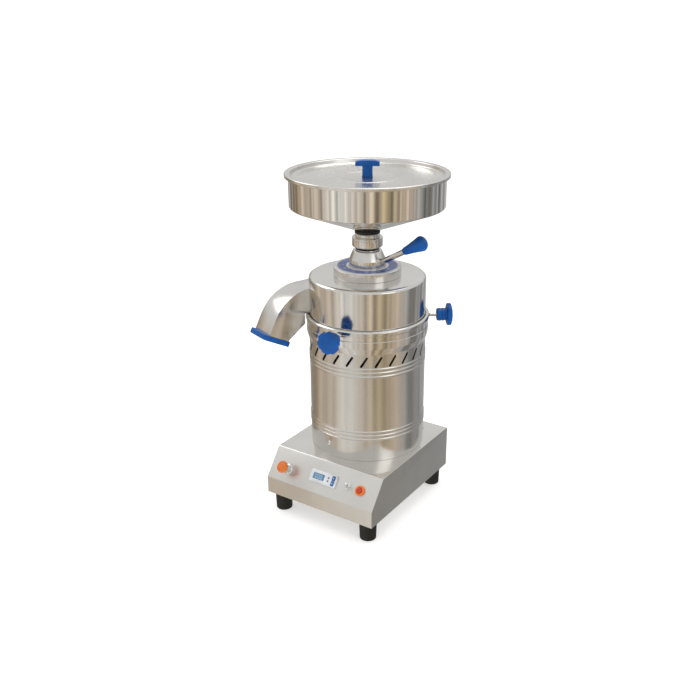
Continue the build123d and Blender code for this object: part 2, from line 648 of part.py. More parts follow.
def make_clamps():
    """Three screws through the collar bear on the casing's wall, each with a lobed knob."""
    tip = CASING_RADIUS + 0.3
    rod_length = COLLAR_RADIUS + CLAMP_ROD_OUT - tip + 14
    hub_at = COLLAR_RADIUS + CLAMP_ROD_OUT - tip
    total = KNOB_HUB_LENGTH + KNOB_STAR_THICKNESS
    for k in range(CLAMP_COUNT):
        place = clamp_place(k, tip)
        screw = rod(CLAMP_ROD_RADIUS, rod_length)
        screw = chamfer(screw.edges().group_by(Axis.Z)[0], 0.6)
        keep(f"clamp_screw_{k + 1}", place * screw)
        knob = rod(KNOB_HUB_RADIUS, total)
        knob += Pos(0, 0, KNOB_HUB_LENGTH * 0.45) * rod(KNOB_HUB_RADIUS + 0.8, 2.4)
        star = rod(KNOB_STAR_RADIUS, KNOB_STAR_THICKNESS)
        star = fillet(star.edges(), 2.4)
        for cut in around(Pos(KNOB_STAR_RADIUS + 5.2, 0, -1) * rod(8.0, KNOB_STAR_THICKNESS + 2), KNOB_LOBES):
            star -= cut
        knob += Pos(0, 0, KNOB_HUB_LENGTH) * star
        knob -= Pos(0, 0, -1) * rod(CLAMP_ROD_RADIUS + RUN_GAP, rod_length - hub_at + 1)
        keep(f"clamp_knob_{k + 1}", place * Pos(0, 0, hub_at) * knob)


def make_boss_and_scale():
    boss = disc(BOSS_RADIUS, CASING_TOP_Z, BOSS_TOP, JOURNAL_RADIUS + RUN_GAP)
    boss = chamfer(boss.edges().group_by(Axis.Z)[-1].sort_by(SortBy.LENGTH)[-1], 0.8)
    keep("boss_ring", boss)
    scale = disc(BOSS_RADIUS - 1.2, BOSS_TOP, SCALE_TOP, SCALE_INNER_RADIUS)
    keep("grind_scale", scale)


def lever_place():
    """Where the lever leaves the adjuster, with Z along the lever."""
    foot = ADJUSTER_RADIUS - 6.5
    return Pos(foot, 0, BOSS_TOP + LEVER_FOOT_ABOVE_BOSS - 2) * Rot(0, 90 - LEVER_RISE, 0)


def make_adjuster():
    bore = SLEEVE_RADIUS + RUN_GAP
    body = turned(
        [
            (bore, CASING_TOP_Z + TOUCH_GAP / 2),
            (JOURNAL_RADIUS, CASING_TOP_Z + TOUCH_GAP / 2),
            (JOURNAL_RADIUS, BOSS_TOP - TOUCH_GAP),
            (ADJUSTER_RADIUS, BOSS_TOP - TOUCH_GAP),
            (ADJUSTER_RADIUS, BOSS_TOP + ADJUSTER_SKIRT),
            (ADJUSTER_TOP_RADIUS, ADJUSTER_TOP - 2.2),
            (ADJUSTER_TOP_RADIUS - 1.4, ADJUSTER_TOP - 1.0),
            (bore, ADJUSTER_TOP - 1.0),
        ]
    )
    lever = rod(LEVER_RADIUS, LEVER_LENGTH + 12)
    body -= lever_place() * lever
    keep("grind_adjuster", body)
    keep("adjuster_lever", lever_place() * lever)
    swell = GRIP_LENGTH * 0.8
    steps = 8
    points = [(0, 0)]
    for k in range(steps + 1):
        t = k / steps
        points.append((GRIP_NECK_RADIUS + (GRIP_RADIUS - GRIP_NECK_RADIUS) * t**1.25, swell * t))
    for k in range(1, steps):
        t = math.radians(90.0 * k / steps)
        points.append((GRIP_RADIUS * math.cos(t), swell + (GRIP_LENGTH - swell) * math.sin(t)))
    points.append((0, GRIP_LENGTH))
    handle = Pos(0, 0, LEVER_LENGTH) * (turned(points) - rod(LEVER_RADIUS, 12))
    keep("lever_grip", lever_place() * handle)


def make_carrier():
    """The upper stone hangs from a plate on the feed sleeve, which the adjuster raises and lowers."""
    bore = SLEEVE_RADIUS - SLEEVE_WALL
    carrier = disc(STONE_RADIUS - 6, CARRIER_Z, CARRIER_Z + CARRIER_THICKNESS, bore)
    carrier += disc(SLEEVE_RADIUS, CARRIER_Z, SLEEVE_TOP, bore)
    keep("stone_carrier", carrier)
    stone = disc(STONE_RADIUS, UPPER_STONE_Z, CARRIER_Z, STONE_EYE)
    groove = Pos(STONE_RADIUS * 0.62, 8, UPPER_STONE_Z) * Box(STONE_RADIUS, 5, 4)
    stone -= around(groove, FURROW_COUNT)
    keep("upper_stone", stone)
    keep("feed_seal", disc(SEAL_RADIUS, SLEEVE_TOP, SEAL_TOP, bore))


# ---- hopper and lid -----------------------------------------------------------------------------------------
def make_hopper():
    plug_radius = SLEEVE_RADIUS - SLEEVE_WALL - RUN_GAP
    ferrule = disc(FERRULE_RADIUS, SEAL_TOP, FERRULE_TOP, FERRULE_BORE)
    ferrule += disc(plug_radius, SEAL_TOP - FERRULE_PLUG, SEAL_TOP, FERRULE_BORE)
    keep("hopper_neck", ferrule)
    nut = disc(NECK_COLLAR_RADIUS, SEAL_TOP + TOUCH_GAP, SEAL_TOP + NECK_COLLAR_HEIGHT, FERRULE_RADIUS + RUN_GAP)
    ends = rim(nut, NECK_COLLAR_RADIUS, SEAL_TOP + TOUCH_GAP)
    ends += rim(nut, NECK_COLLAR_RADIUS, SEAL_TOP + NECK_COLLAR_HEIGHT)
    nut = chamfer(ends, 1.6)
    groove = turned(
        [
            (NECK_COLLAR_RADIUS + 1, SEAL_TOP + NECK_COLLAR_HEIGHT - 8),
            (NECK_COLLAR_RADIUS - 0.9, SEAL_TOP + NECK_COLLAR_HEIGHT - 7),
            (NECK_COLLAR_RADIUS + 1, SEAL_TOP + NECK_COLLAR_HEIGHT - 6),
        ]
    )
    keep("neck_collar", nut - groove)
    slope = CONE_HEIGHT / (BOWL_RADIUS - FERRULE_RADIUS)
    lift = BOWL_WALL * math.sqrt(1 + slope**2)
    inner = BOWL_RADIUS - BOWL_WALL
    bowl = turned(
        [
            (FERRULE_RADIUS - lift / slope, FERRULE_TOP),
            (FERRULE_RADIUS, FERRULE_TOP),
            (BOWL_RADIUS, CONE_TOP),
            (BOWL_RADIUS, BOWL_TOP),
            (inner, BOWL_TOP),
            (inner, CONE_TOP + lift - BOWL_WALL * slope),
        ]
    )
    roll = Pos(0, 0, BOWL_TOP) * Torus(RIM_RADIUS, RIM_ROLL)
    keep("hopper_bowl", bowl + roll)


def make_lid():
    skirt_bottom = LID_LIP_Z - LID_SKIRT
    pan_wall = LID_PAN_RADIUS
    lid = turned(
        [
            (0, LID_PAN_Z - LID_SHEET),
            (pan_wall, LID_PAN_Z - LID_SHEET),
            (pan_wall + 1.5, LID_LIP_Z),
            (LID_EDGE_RADIUS - LID_SHEET, LID_LIP_Z),
            (LID_EDGE_RADIUS - LID_SHEET, skirt_bottom),
            (LID_EDGE_RADIUS, skirt_bottom),
            (LID_EDGE_RADIUS, LID_TOP),
            (pan_wall, LID_TOP),
            (pan_wall - LID_SHEET, LID_PAN_Z),
            (0, LID_PAN_Z),
        ]
    )
    lid = fillet(rim(lid, LID_EDGE_RADIUS, LID_TOP), 1.4)
    lid += Pos(0, 0, LID_PAN_Z - 1.0) * Torus(LID_RING_RADIUS, 2.2)
    lid -= disc(3.2, LID_PAN_Z - 4, LID_PAN_Z + 1)
    keep("hopper_lid", lid)


def make_lid_handle():
    bar_bottom = HANDLE_HEIGHT - HANDLE_BAR_HEIGHT
    stem = Cone(
        HANDLE_STEM_RADIUS + 0.8,
        HANDLE_STEM_RADIUS - 0.5,
        bar_bottom + 1,
        align=(Align.CENTER, Align.CENTER, Align.MIN),
    )
    bar = Pos(0, 0, bar_bottom + HANDLE_BAR_HEIGHT / 2) * Box(
        HANDLE_BAR_LENGTH, HANDLE_BAR_WIDTH, HANDLE_BAR_HEIGHT
    )
    bar = fillet(bar.edges().filter_by(Axis.Z), 5.5)
    bar = fillet(bar.edges().group_by(Axis.Z)[-1], 2.5)
    handle = stem + bar
    screw_reach = 14.0
    handle -= rod(3, screw_reach)
    place = Pos(0, 0, LID_PAN_Z) * Rot(0, 0, HANDLE_TURN)
    keep("lid_handle", place * handle)
    screw = Pos(0, 0, -LID_SHEET - 3) * rod(6, 3) + Pos(0, 0, -LID_SHEET) * rod(3, screw_reach + LID_SHEET)
    keep("lid_handle_screw", place * screw)


# ---- motor and running stone --------------------------------------------------------------------------------
def make_motor():
    shell = disc(MOTOR_RADIUS, MOTOR_BOTTOM, MOTOR_TOP, MOTOR_RADIUS - 6)
    fin = Pos(MOTOR_RADIUS + FIN_DEPTH / 2 - 0.5, 0, (MOTOR_BOTTOM + MOTOR_TOP) / 2) * Box(
        FIN_DEPTH, 2.5, MOTOR_HEIGHT - 20
    )
    for piece in around(fin, FIN_COUNT):
        shell += piece
    keep("motor_frame", shell)
    core_top = CORE_BOTTOM + STATOR_CORE_HEIGHT
    core_radius = MOTOR_RADIUS - 6 - TOUCH_GAP / 4
    keep("stator_core", disc(core_radius, CORE_BOTTOM, core_top, ROTOR_CORE_RADIUS + 0.8))
    winding_height = 18.0
    windings = [
        disc(core_radius - 6, core_top, core_top + winding_height, ROTOR_CORE_RADIUS + 6),
        disc(core_radius - 6, CORE_BOTTOM - winding_height, CORE_BOTTOM, ROTOR_CORE_RADIUS + 6),
    ]
    keep("stator_windings", windings)
    lower = disc(MOTOR_RADIUS, MOTOR_BOTTOM - BELL_HEIGHT, MOTOR_BOTTOM, BEARING_RADIUS)
    lower += disc(BEARING_RADIUS, MOTOR_BOTTOM - BELL_HEIGHT, MOTOR_BOTTOM - BELL_HEIGHT + 2, SHAFT_RADIUS + 4)
    keep("lower_end_bell", lower)
    upper = disc(MOTOR_RADIUS, MOTOR_TOP, BELL_TOP, BEARING_RADIUS)
    upper += disc(BEARING_RADIUS, BELL_TOP - 2, BELL_TOP, SHAFT_RADIUS + 4)
    upper += disc(LANTERN_RADIUS, BELL_TOP - 8, BELL_TOP, MOTOR_RADIUS - 2)
    lantern = disc(LANTERN_RADIUS, BELL_TOP, DRUM_TOP, LANTERN_RADIUS - LANTERN_WALL)
    for k in range(MOTOR_BOLT_COUNT):
        window = Rot(0, 0, 360.0 * k / MOTOR_BOLT_COUNT) * Pos(MOTOR_RADIUS, 0, (BELL_TOP + DRUM_TOP) / 2)
        lantern -= window * Box(60, 60, (DRUM_TOP - BELL_TOP) * 0.5)
    bolts = []
    bolt_radius = 4.0
    bolt_bottom = BELL_TOP - 8
    for place in motor_bolt_places(0):
        shank = place * Pos(0, 0, bolt_bottom) * rod(bolt_radius, DRUM_TOP + 14 - bolt_bottom)
        upper -= shank
        lantern -= shank
        bolts.append(shank + place * Pos(0, 0, bolt_bottom - 5) * hex_bar(13, 5))
    keep("motor_lantern", upper + lantern)
    keep("motor_bolts", bolts)


def make_bearings():
    """Two ball bearings: outer rings in the end bells, inner rings on the shaft, balls between them."""
    width = 11.0
    middle = (SHAFT_RADIUS + BEARING_RADIUS) / 2
    outer, inner = [], []
    for bottom in (MOTOR_BOTTOM - BELL_HEIGHT + 2, MOTOR_TOP + 0.9):
        outer.append(disc(BEARING_RADIUS, bottom, bottom + width, middle + BALL_RADIUS + RUN_GAP))
        inner.append(disc(middle - BALL_RADIUS - RUN_GAP, bottom, bottom + width, SHAFT_RADIUS))
        ball = Pos(middle, 0, bottom + width / 2) * Sphere(BALL_RADIUS)
        inner += around(ball, BALL_COUNT)
    keep("bearing_outer_rings", outer)
    keep("bearing_inner_rings_and_balls", inner)


def make_rotor():
    shaft_bottom = MOTOR_BOTTOM - BELL_HEIGHT - 26
    shaft_top = RUNNER_Z + STONE_THICKNESS + 6
    keep("motor_shaft", disc(SHAFT_RADIUS, shaft_bottom, shaft_top))
    keep("rotor_core", disc(ROTOR_CORE_RADIUS, CORE_BOTTOM, CORE_BOTTOM + STATOR_CORE_HEIGHT, SHAFT_RADIUS))
    fan_bottom = shaft_bottom + 2
    fan_height = 18.0
    fan = disc(20, fan_bottom, fan_bottom + fan_height, SHAFT_RADIUS)
    fan += disc(FAN_RADIUS, fan_bottom, fan_bottom + 2.5, SHAFT_RADIUS)
    blade = Pos((FAN_RADIUS + 18) / 2, 0, fan_bottom + fan_height / 2) * Box(FAN_RADIUS - 20, 2.5, fan_height)
    for piece in around(blade, FAN_BLADES):
        fan += piece
    keep("cooling_fan", fan)
    seal = disc(SEAL_SEAT_RADIUS - TOUCH_GAP / 4, BED_TOP - SEAL_SEAT_DEPTH, BED_TOP + 0.5, SHAFT_RADIUS + RUN_GAP)
    keep("shaft_seal", seal)
    groove_seal = disc(CASING_RADIUS - SHEET - TOUCH_GAP, BED_TOP - 8.8, BED_TOP - 6.2, BED_RADIUS - 1.9)
    keep("casing_seal", groove_seal)
    plate = disc(ROTOR_PLATE_RADIUS, PLATE_Z, RUNNER_Z, SHAFT_RADIUS)
    paddle = Pos((STONE_RADIUS + ROTOR_PLATE_RADIUS) / 2 + 3, 0, RUNNER_Z + 7) * Box(20, 3, 14)
    for piece in around(paddle, PADDLE_COUNT, first=20):
        plate += piece
    keep("rotor_plate", plate)
    stone = disc(STONE_RADIUS, RUNNER_Z, RUNNER_Z + STONE_THICKNESS, SHAFT_RADIUS)
    groove = Pos(STONE_RADIUS * 0.66, -8, RUNNER_Z + STONE_THICKNESS) * Box(STONE_RADIUS, 5, 4)
    stone -= around(groove, FURROW_COUNT)
    keep("running_stone", stone)
    nut_bottom = RUNNER_Z + STONE_THICKNESS
    nut = Pos(0, 0, nut_bottom) * hex_bar(36, 10)
    nut += Pos(0, 0, nut_bottom + 10) * Cone(17, 5, 8, align=(Align.CENTER, Align.CENTER, Align.MIN))
    nut -= Pos(0, 0, nut_bottom) * rod(SHAFT_RADIUS, 6)
    keep("stone_nut", nut)


# ---- build and export ---------------------------------------------------------------------------------------
def main():
    keep("base_housing", make_base_housing())
    keep("bottom_plate", make_bottom_plate())
    make_feet()
    make_display()
    make_buttons()
    make_toggle()
    make_electrics()
    keep("motor_drum", make_drum())
    make_drum_screws()
    keep("mill_bed", make_bed())
    keep("clamp_collar", make_collar())
    keep("mill_casing", make_casing())
    keep("outlet_chute", make_chute())
    keep("chute_edging", make_chute_trim())
    make_clamps()
    make_boss_and_scale()
    make_adjuster()
    make_carrier()
    make_hopper()
    make_lid()
    make_lid_handle()
    make_motor()
    make_bearings()
    make_rotor()
    os.makedirs("parts", exist_ok=True)
    for name, shape in PARTS.items():
        export_step(shape, f"parts/{name}.step")
    print(len(PARTS), "nodes")


main()
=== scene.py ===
import json
import math

import bmesh
import bpy
from mathutils import Matrix, Vector


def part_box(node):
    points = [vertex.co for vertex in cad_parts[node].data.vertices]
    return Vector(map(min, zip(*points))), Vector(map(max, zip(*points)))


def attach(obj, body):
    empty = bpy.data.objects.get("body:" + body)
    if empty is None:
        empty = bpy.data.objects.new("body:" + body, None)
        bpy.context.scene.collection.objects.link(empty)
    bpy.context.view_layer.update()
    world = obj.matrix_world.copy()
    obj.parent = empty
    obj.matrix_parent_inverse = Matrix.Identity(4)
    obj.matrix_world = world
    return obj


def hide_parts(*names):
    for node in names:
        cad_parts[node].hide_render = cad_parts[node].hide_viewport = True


bl_info = {
    "name": "Electric Stone Mill",
    "version": (1, 0, 0),
    "blender": (4, 5, 0),
    "location": "View3D > Sidebar > Stone Mill",
    "description": "Builds the visible pieces of a bench-top electric stone mill around its fixed frame",
    "category": "Object",
}

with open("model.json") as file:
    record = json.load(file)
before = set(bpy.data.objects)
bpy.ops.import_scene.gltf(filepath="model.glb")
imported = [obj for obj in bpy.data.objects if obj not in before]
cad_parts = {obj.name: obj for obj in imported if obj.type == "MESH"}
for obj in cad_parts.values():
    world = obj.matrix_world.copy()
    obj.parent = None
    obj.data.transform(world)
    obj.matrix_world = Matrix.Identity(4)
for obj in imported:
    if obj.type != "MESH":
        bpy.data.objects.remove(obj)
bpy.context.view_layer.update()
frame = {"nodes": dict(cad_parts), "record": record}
MM = 0.001
TURN = 2 * math.pi
ROUND_STEPS = 224  # how many flats a large round piece is turned with
SMALL_STEPS = 64

# Levels and radii that the frame already fixes, so every piece lands where the frame has it.
BASE_LOW, BASE_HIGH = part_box("base_housing")
DRUM_LOW, DRUM_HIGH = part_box("motor_drum")
COLLAR_LOW, COLLAR_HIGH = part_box("clamp_collar")
CASING_LOW, CASING_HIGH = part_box("mill_casing")
BOSS_LOW, BOSS_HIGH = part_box("boss_ring")
SCALE_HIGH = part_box("grind_scale")[1]
ADJUSTER_LOW, ADJUSTER_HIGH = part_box("grind_adjuster")
SEAL_LOW, SEAL_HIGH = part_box("feed_seal")
NECK_LOW, NECK_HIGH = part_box("hopper_neck")
NECK_RING_LOW, NECK_RING_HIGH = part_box("neck_collar")
BOWL_LOW, BOWL_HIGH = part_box("hopper_bowl")
LID_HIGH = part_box("hopper_lid")[1]
HANDLE_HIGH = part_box("lid_handle")[1]
FEET_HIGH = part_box("rubber_feet")[1]
BASE_TOP = DRUM_LOW.z


# ---- settings a user would change ---------------------------------------------------------------------------
class MillSizes(bpy.types.PropertyGroup):
    """Sizes of the visible pieces that the frame leaves free."""

    drum_radius: bpy.props.FloatProperty(
        name="Drum radius", description="Outside of the motor drum's wall", default=0.125, unit="LENGTH"
    )
    sheet: bpy.props.FloatProperty(
        name="Sheet", description="Thickness of the steel sheet", default=0.002, unit="LENGTH"
    )
    slot_count: bpy.props.IntProperty(name="Vent slots", description="Slots round the drum", default=26)
    slot_length: bpy.props.FloatProperty(
        name="Slot length", description="Overall length of a vent slot", default=0.027, unit="LENGTH"
    )
    slot_width: bpy.props.FloatProperty(
        name="Slot width", description="Width of a vent slot", default=0.005, unit="LENGTH"
    )
    slot_lean: bpy.props.FloatProperty(
        name="Slot lean", description="How far a slot leans from upright",
        default=math.radians(32), subtype="ANGLE"
    )
    slot_phase: bpy.props.FloatProperty(
        name="Slot phase", description="Plan angle of the first slot",
        default=math.radians(-46.5), subtype="ANGLE"
    )
    casing_edge: bpy.props.FloatProperty(
        name="Casing edge", description="Radius of the casing's upper edge", default=0.008, unit="LENGTH"
    )
    knob_lobes: bpy.props.IntProperty(name="Knob lobes", description="Lobes on each clamp knob", default=6)


class MillColours(bpy.types.PropertyGroup):
    """Colours of the mill's finishes."""

    blue: bpy.props.FloatVectorProperty(
        name="Blue", description="Moulded blue plastic", default=(0.001, 0.085, 0.35), subtype="COLOR"
    )
    orange: bpy.props.FloatVectorProperty(
        name="Orange", description="Push buttons", default=(0.86, 0.20, 0.02), subtype="COLOR"
    )
    red: bpy.props.FloatVectorProperty(
        name="Red", description="Middle of the start button", default=(0.55, 0.04, 0.01), subtype="COLOR"
    )
    steel: bpy.props.FloatVectorProperty(
        name="Steel", description="Stainless steel", default=(0.70, 0.685, 0.66), subtype="COLOR"
    )
    display: bpy.props.FloatVectorProperty(
        name="Display", description="Display window", default=(0.09, 0.23, 0.42), subtype="COLOR"
    )


class StudioSettings(bpy.types.PropertyGroup):
    """Where the camera stands and how strong the light is."""

    azimuth: bpy.props.FloatProperty(
        name="Azimuth", description="Turn of the camera about the mill",
        default=math.radians(32.97), subtype="ANGLE"
    )
    elevation: bpy.props.FloatProperty(
        name="Elevation", description="Height of the camera's view",
        default=math.radians(22.14), subtype="ANGLE"
    )
    distance: bpy.props.FloatProperty(
        name="Distance", description="From the camera to what it looks at", default=1.897, unit="LENGTH"
    )
    target_height: bpy.props.FloatProperty(
        name="Target height", description="Height that the camera looks at", default=0.3437, unit="LENGTH"
    )
    lens: bpy.props.FloatProperty(name="Lens", description="Focal length in millimetres", default=44.8)
    shift: bpy.props.FloatProperty(
        name="Shift", description="Sideways shift of the camera's frame", default=-0.0249,
    )
    daylight: bpy.props.FloatProperty(
        name="Daylight", description="Strength of the room's light", default=0.95,
    )
    softbox: bpy.props.FloatProperty(
        name="Softbox", description="Power of the key softbox", default=12.0, unit="POWER",
    )


# ---- modelling helpers --------------------------------------------------------------------------------------
def fresh():
    """Leaves edit mode with nothing selected."""
    if bpy.context.object and bpy.context.object.mode != "OBJECT":
        bpy.ops.object.mode_set(mode="OBJECT")
    bpy.ops.object.select_all(action="DESELECT")


def choose(piece):
    fresh()
    piece.select_set(True)
    bpy.context.view_layer.objects.active = piece


def edit(piece):
    choose(piece)
    bpy.ops.object.mode_set(mode="EDIT")


def named(name):
    piece = bpy.context.object
    piece.name = name
    piece.data.name = name
    return piece


def pick(kind, test):
    """In edit mode, selects the verts, edges or faces whose middle and direction pass the test."""
    mode = {"verts": "VERT", "edges": "EDGE", "faces": "FACE"}[kind]
    bpy.ops.mesh.select_mode(type=mode)
    bpy.ops.mesh.select_all(action="DESELECT")
    mesh = bmesh.from_edit_mesh(bpy.context.object.data)
    mesh.normal_update()
    count = 0
    for item in getattr(mesh, kind):
        if kind == "verts":
            hit = test(item.co, item.normal)
        elif kind == "edges":
            along = (item.verts[1].co - item.verts[0].co).normalized()
            hit = test((item.verts[0].co + item.verts[1].co) / 2, along)
        else:
            hit = test(item.calc_center_median(), item.normal)
        if hit:
            item.select_set(True)
            count += 1
    mesh.select_flush_mode()
    bmesh.update_edit_mesh(bpy.context.object.data)
    if not count:
        raise RuntimeError(f"nothing to pick on {bpy.context.object.name}")


def rounded(points):
    """Outline corners (across, up) or (across, up, radius): a radius turns that corner into an arc."""
    result = []
    for i, point in enumerate(points):
        here = Vector(point[:2])
        if len(point) < 3 or not point[2]:
            result.append(here)
            continue
        back = (Vector(points[i - 1][:2]) - here).normalized()
        on = (Vector(points[(i + 1) % len(points)][:2]) - here).normalized()
        half = back.angle(on) / 2
        reach = point[2] / math.tan(half)
        middle = here + (back + on).normalized() * point[2] / math.sin(half)
        first = here + back * reach - middle
        last = here + on * reach - middle
        sweep = first.angle_signed(last)
        steps = max(3, int(math.degrees(abs(sweep)) / 9))
        for k in range(steps + 1):
            result.append(middle + Matrix.Rotation(-sweep * k / steps, 2) @ first)
    return result


def trace(name, points, upright=True):
    """A chain of edges through the outline's points, in the plane y = 0, or in the plane x = 0."""
    places = [Vector((p[0], 0, p[1])) if upright else Vector((0, p[0], p[1])) for p in points]
    fresh()
    bpy.ops.mesh.primitive_plane_add(size=MM, location=(0, 0, 0))
    piece = named(name)
    bpy.ops.object.mode_set(mode="EDIT")
    bpy.ops.mesh.select_mode(type="VERT")
    bpy.ops.mesh.select_all(action="SELECT")
    bpy.ops.mesh.merge(type="CENTER")
    bpy.ops.transform.translate(value=places[0])
    for before, after in zip(places, places[1:]):
        bpy.ops.mesh.extrude_vertices_move(TRANSFORM_OT_translate={"value": after - before})
    return piece


def close_outline(first, last, upright=True):
    ends = [Vector((p[0], 0, p[1])) if upright else Vector((0, p[0], p[1])) for p in (first, last)]
    pick("verts", lambda place, normal: min((place - end).length for end in ends) < 1e-6)
    bpy.ops.mesh.edge_face_add()


def turned(name, points, steps=ROUND_STEPS, closed=True):
    """A piece turned about the upright axis from an outline of (radius, height) corners."""
    outline = rounded(points)
    piece = trace(name, outline)
    if closed:
        close_outline(outline[0], outline[-1])
    bpy.ops.mesh.select_all(action="SELECT")
    bpy.ops.mesh.spin(steps=steps, angle=TURN, center=(0, 0, 0), axis=(0, 0, 1))
    bpy.ops.mesh.select_all(action="SELECT")
    bpy.ops.mesh.remove_doubles(threshold=2e-6)
    bpy.ops.mesh.normals_make_consistent(inside=False)
    bpy.ops.object.mode_set(mode="OBJECT")
    return piece


def slab(name, points, width, upright=True):
    """A flat outline given a width across its plane."""
    outline = rounded(points)
    piece = trace(name, outline, upright)
    bpy.ops.mesh.select_all(action="SELECT")
    close_outline(outline[0], outline[-1], upright)
    bpy.ops.mesh.select_all(action="SELECT")
    bpy.ops.mesh.edge_face_add()
    across = (0, width, 0) if upright else (width, 0, 0)
    bpy.ops.mesh.select_all(action="SELECT")
    bpy.ops.mesh.extrude_region_move(TRANSFORM_OT_translate={"value": across})
    bpy.ops.mesh.select_all(action="SELECT")
    bpy.ops.mesh.normals_make_consistent(inside=False)
    bpy.ops.object.mode_set(mode="OBJECT")
    return piece


def block(name, size, middle=(0, 0, 0), round_edges=0.0, steps=3, keep_sharp=None):
    """A box with its edges rounded, or only those whose middle and direction pass keep_sharp's test."""
    fresh()
    bpy.ops.mesh.primitive_cube_add(size=1, location=(0, 0, 0))
    piece = named(name)
    bpy.ops.object.mode_set(mode="EDIT")
    bpy.ops.transform.resize(value=size)
    bpy.ops.transform.translate(value=middle)
    if round_edges:
        pick("edges", keep_sharp or (lambda place, along: True))
        bpy.ops.mesh.bevel(offset=round_edges, segments=steps, affect="EDGES", clamp_overlap=True)
    bpy.ops.object.mode_set(mode="OBJECT")
    return piece


def prism(name, sides, radius, low, high, turn=0.0):
    """A bar with flat sides about the upright axis, its ends chamfered like a nut's."""
    fresh()
    bpy.ops.mesh.primitive_cylinder_add(
        vertices=sides, radius=radius, depth=high - low, location=(0, 0, (low + high) / 2), rotation=(
            0, 0, turn,
        )
    )
    piece = named(name)
    bpy.ops.object.transform_apply(location=True, rotation=True, scale=True)
    edit(piece)
    pick("faces", lambda place, normal: abs(normal.z) > 0.9)
    bpy.ops.mesh.inset(thickness=radius * 0.06, depth=0)
    pick("faces", lambda place, normal: abs(normal.z) > 0.9 and place.xy.length < 1e-5)
    bpy.ops.mesh.bevel(offset=radius * 0.03, segments=2, affect="EDGES")
    bpy.ops.object.mode_set(mode="OBJECT")
    return piece


def soften(piece, width, steps=2, angle=35):
    """Rounds every edge sharper than the angle."""
    choose(piece)
    rounding = piece.modifiers.new("Rounding", "BEVEL")
    rounding.width = width
    rounding.segments = steps
    rounding.limit_method = "ANGLE"
    rounding.angle_limit = math.radians(angle)
    rounding.harden_normals = False
    bpy.ops.object.modifier_apply(modifier=rounding.name)


def cut(piece, *cutters):
    """Takes the cutters' shapes out of the piece."""
    for cutter in cutters:
        choose(piece)
        cutting = piece.modifiers.new("Cut", "BOOLEAN")
        cutting.operation = "DIFFERENCE"
        cutting.solver = "EXACT"
        cutting.object = cutter
        bpy.ops.object.modifier_apply(modifier=cutting.name)
        bpy.data.objects.remove(cutter)


def place(piece, where):
    """Moves a piece and leaves its object at the origin, with its place in its mesh."""
    piece.matrix_world = where
    choose(piece)
    bpy.ops.object.transform_apply(location=True, rotation=True, scale=True)
    return piece


def joined(name, pieces):
    fresh()
    for piece in pieces:
        piece.select_set(True)
    bpy.context.view_layer.objects.active = pieces[0]
    if len(pieces) > 1:
        bpy.ops.object.join()
    return named(name)


def copies(name, piece, places):
    """The piece at each place, as one object; the piece itself is used up."""
    made = []
    for where in places:
        choose(piece)
        bpy.ops.object.duplicate()
        made.append(place(bpy.context.object, where))
    bpy.data.objects.remove(piece)
    return joined(name, made)


def hand_over(piece, body, finish, replaces=(), smooth=32):
    """Shades a finished piece, gives it its finish and lets it ride on its body."""
    choose(piece)
    bpy.ops.object.transform_apply(location=True, rotation=True, scale=True)
    bpy.ops.object.shade_smooth_by_angle(angle=math.radians(smooth))
    if finish is not None:
        piece.data.materials.clear()
        piece.data.materials.append(finish)
    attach(piece, body)
    if replaces:
        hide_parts(*replaces)
    return piece


def ring_of(count, radius=0.0, height=0.0, first=0.0):
    """Places evenly spaced about the shaft's axis, whose X axis points outwards."""
    shift = Matrix.Translation((radius, 0, height))
    return [Matrix.Rotation(first + TURN * k / count, 4, "Z") @ shift for k in range(count)]


def outward(angle, radius, height):
    """A place whose Z axis points away from the shaft at that plan angle."""
    return (
        Matrix.Rotation(angle, 4, "Z") @ Matrix.Translation((radius, 0, height)) @ Matrix.Rotation(
            math.pi / 2, 4, "Y",
        )
    )


PANEL_PITCH = math.atan2(57.5, 45.0)


def on_panel(across, up):
    """A place on the sloped panel whose Z axis is the panel's outward normal and whose Y axis runs up its slope."""
    turn = Matrix.Rotation(PANEL_PITCH, 4, "X")
    return Matrix.Translation((0, BASE_LOW.y, BASE_LOW.z + 37.5 * MM)) @ turn @ Matrix.Translation(
        (across, up, 0),
    )


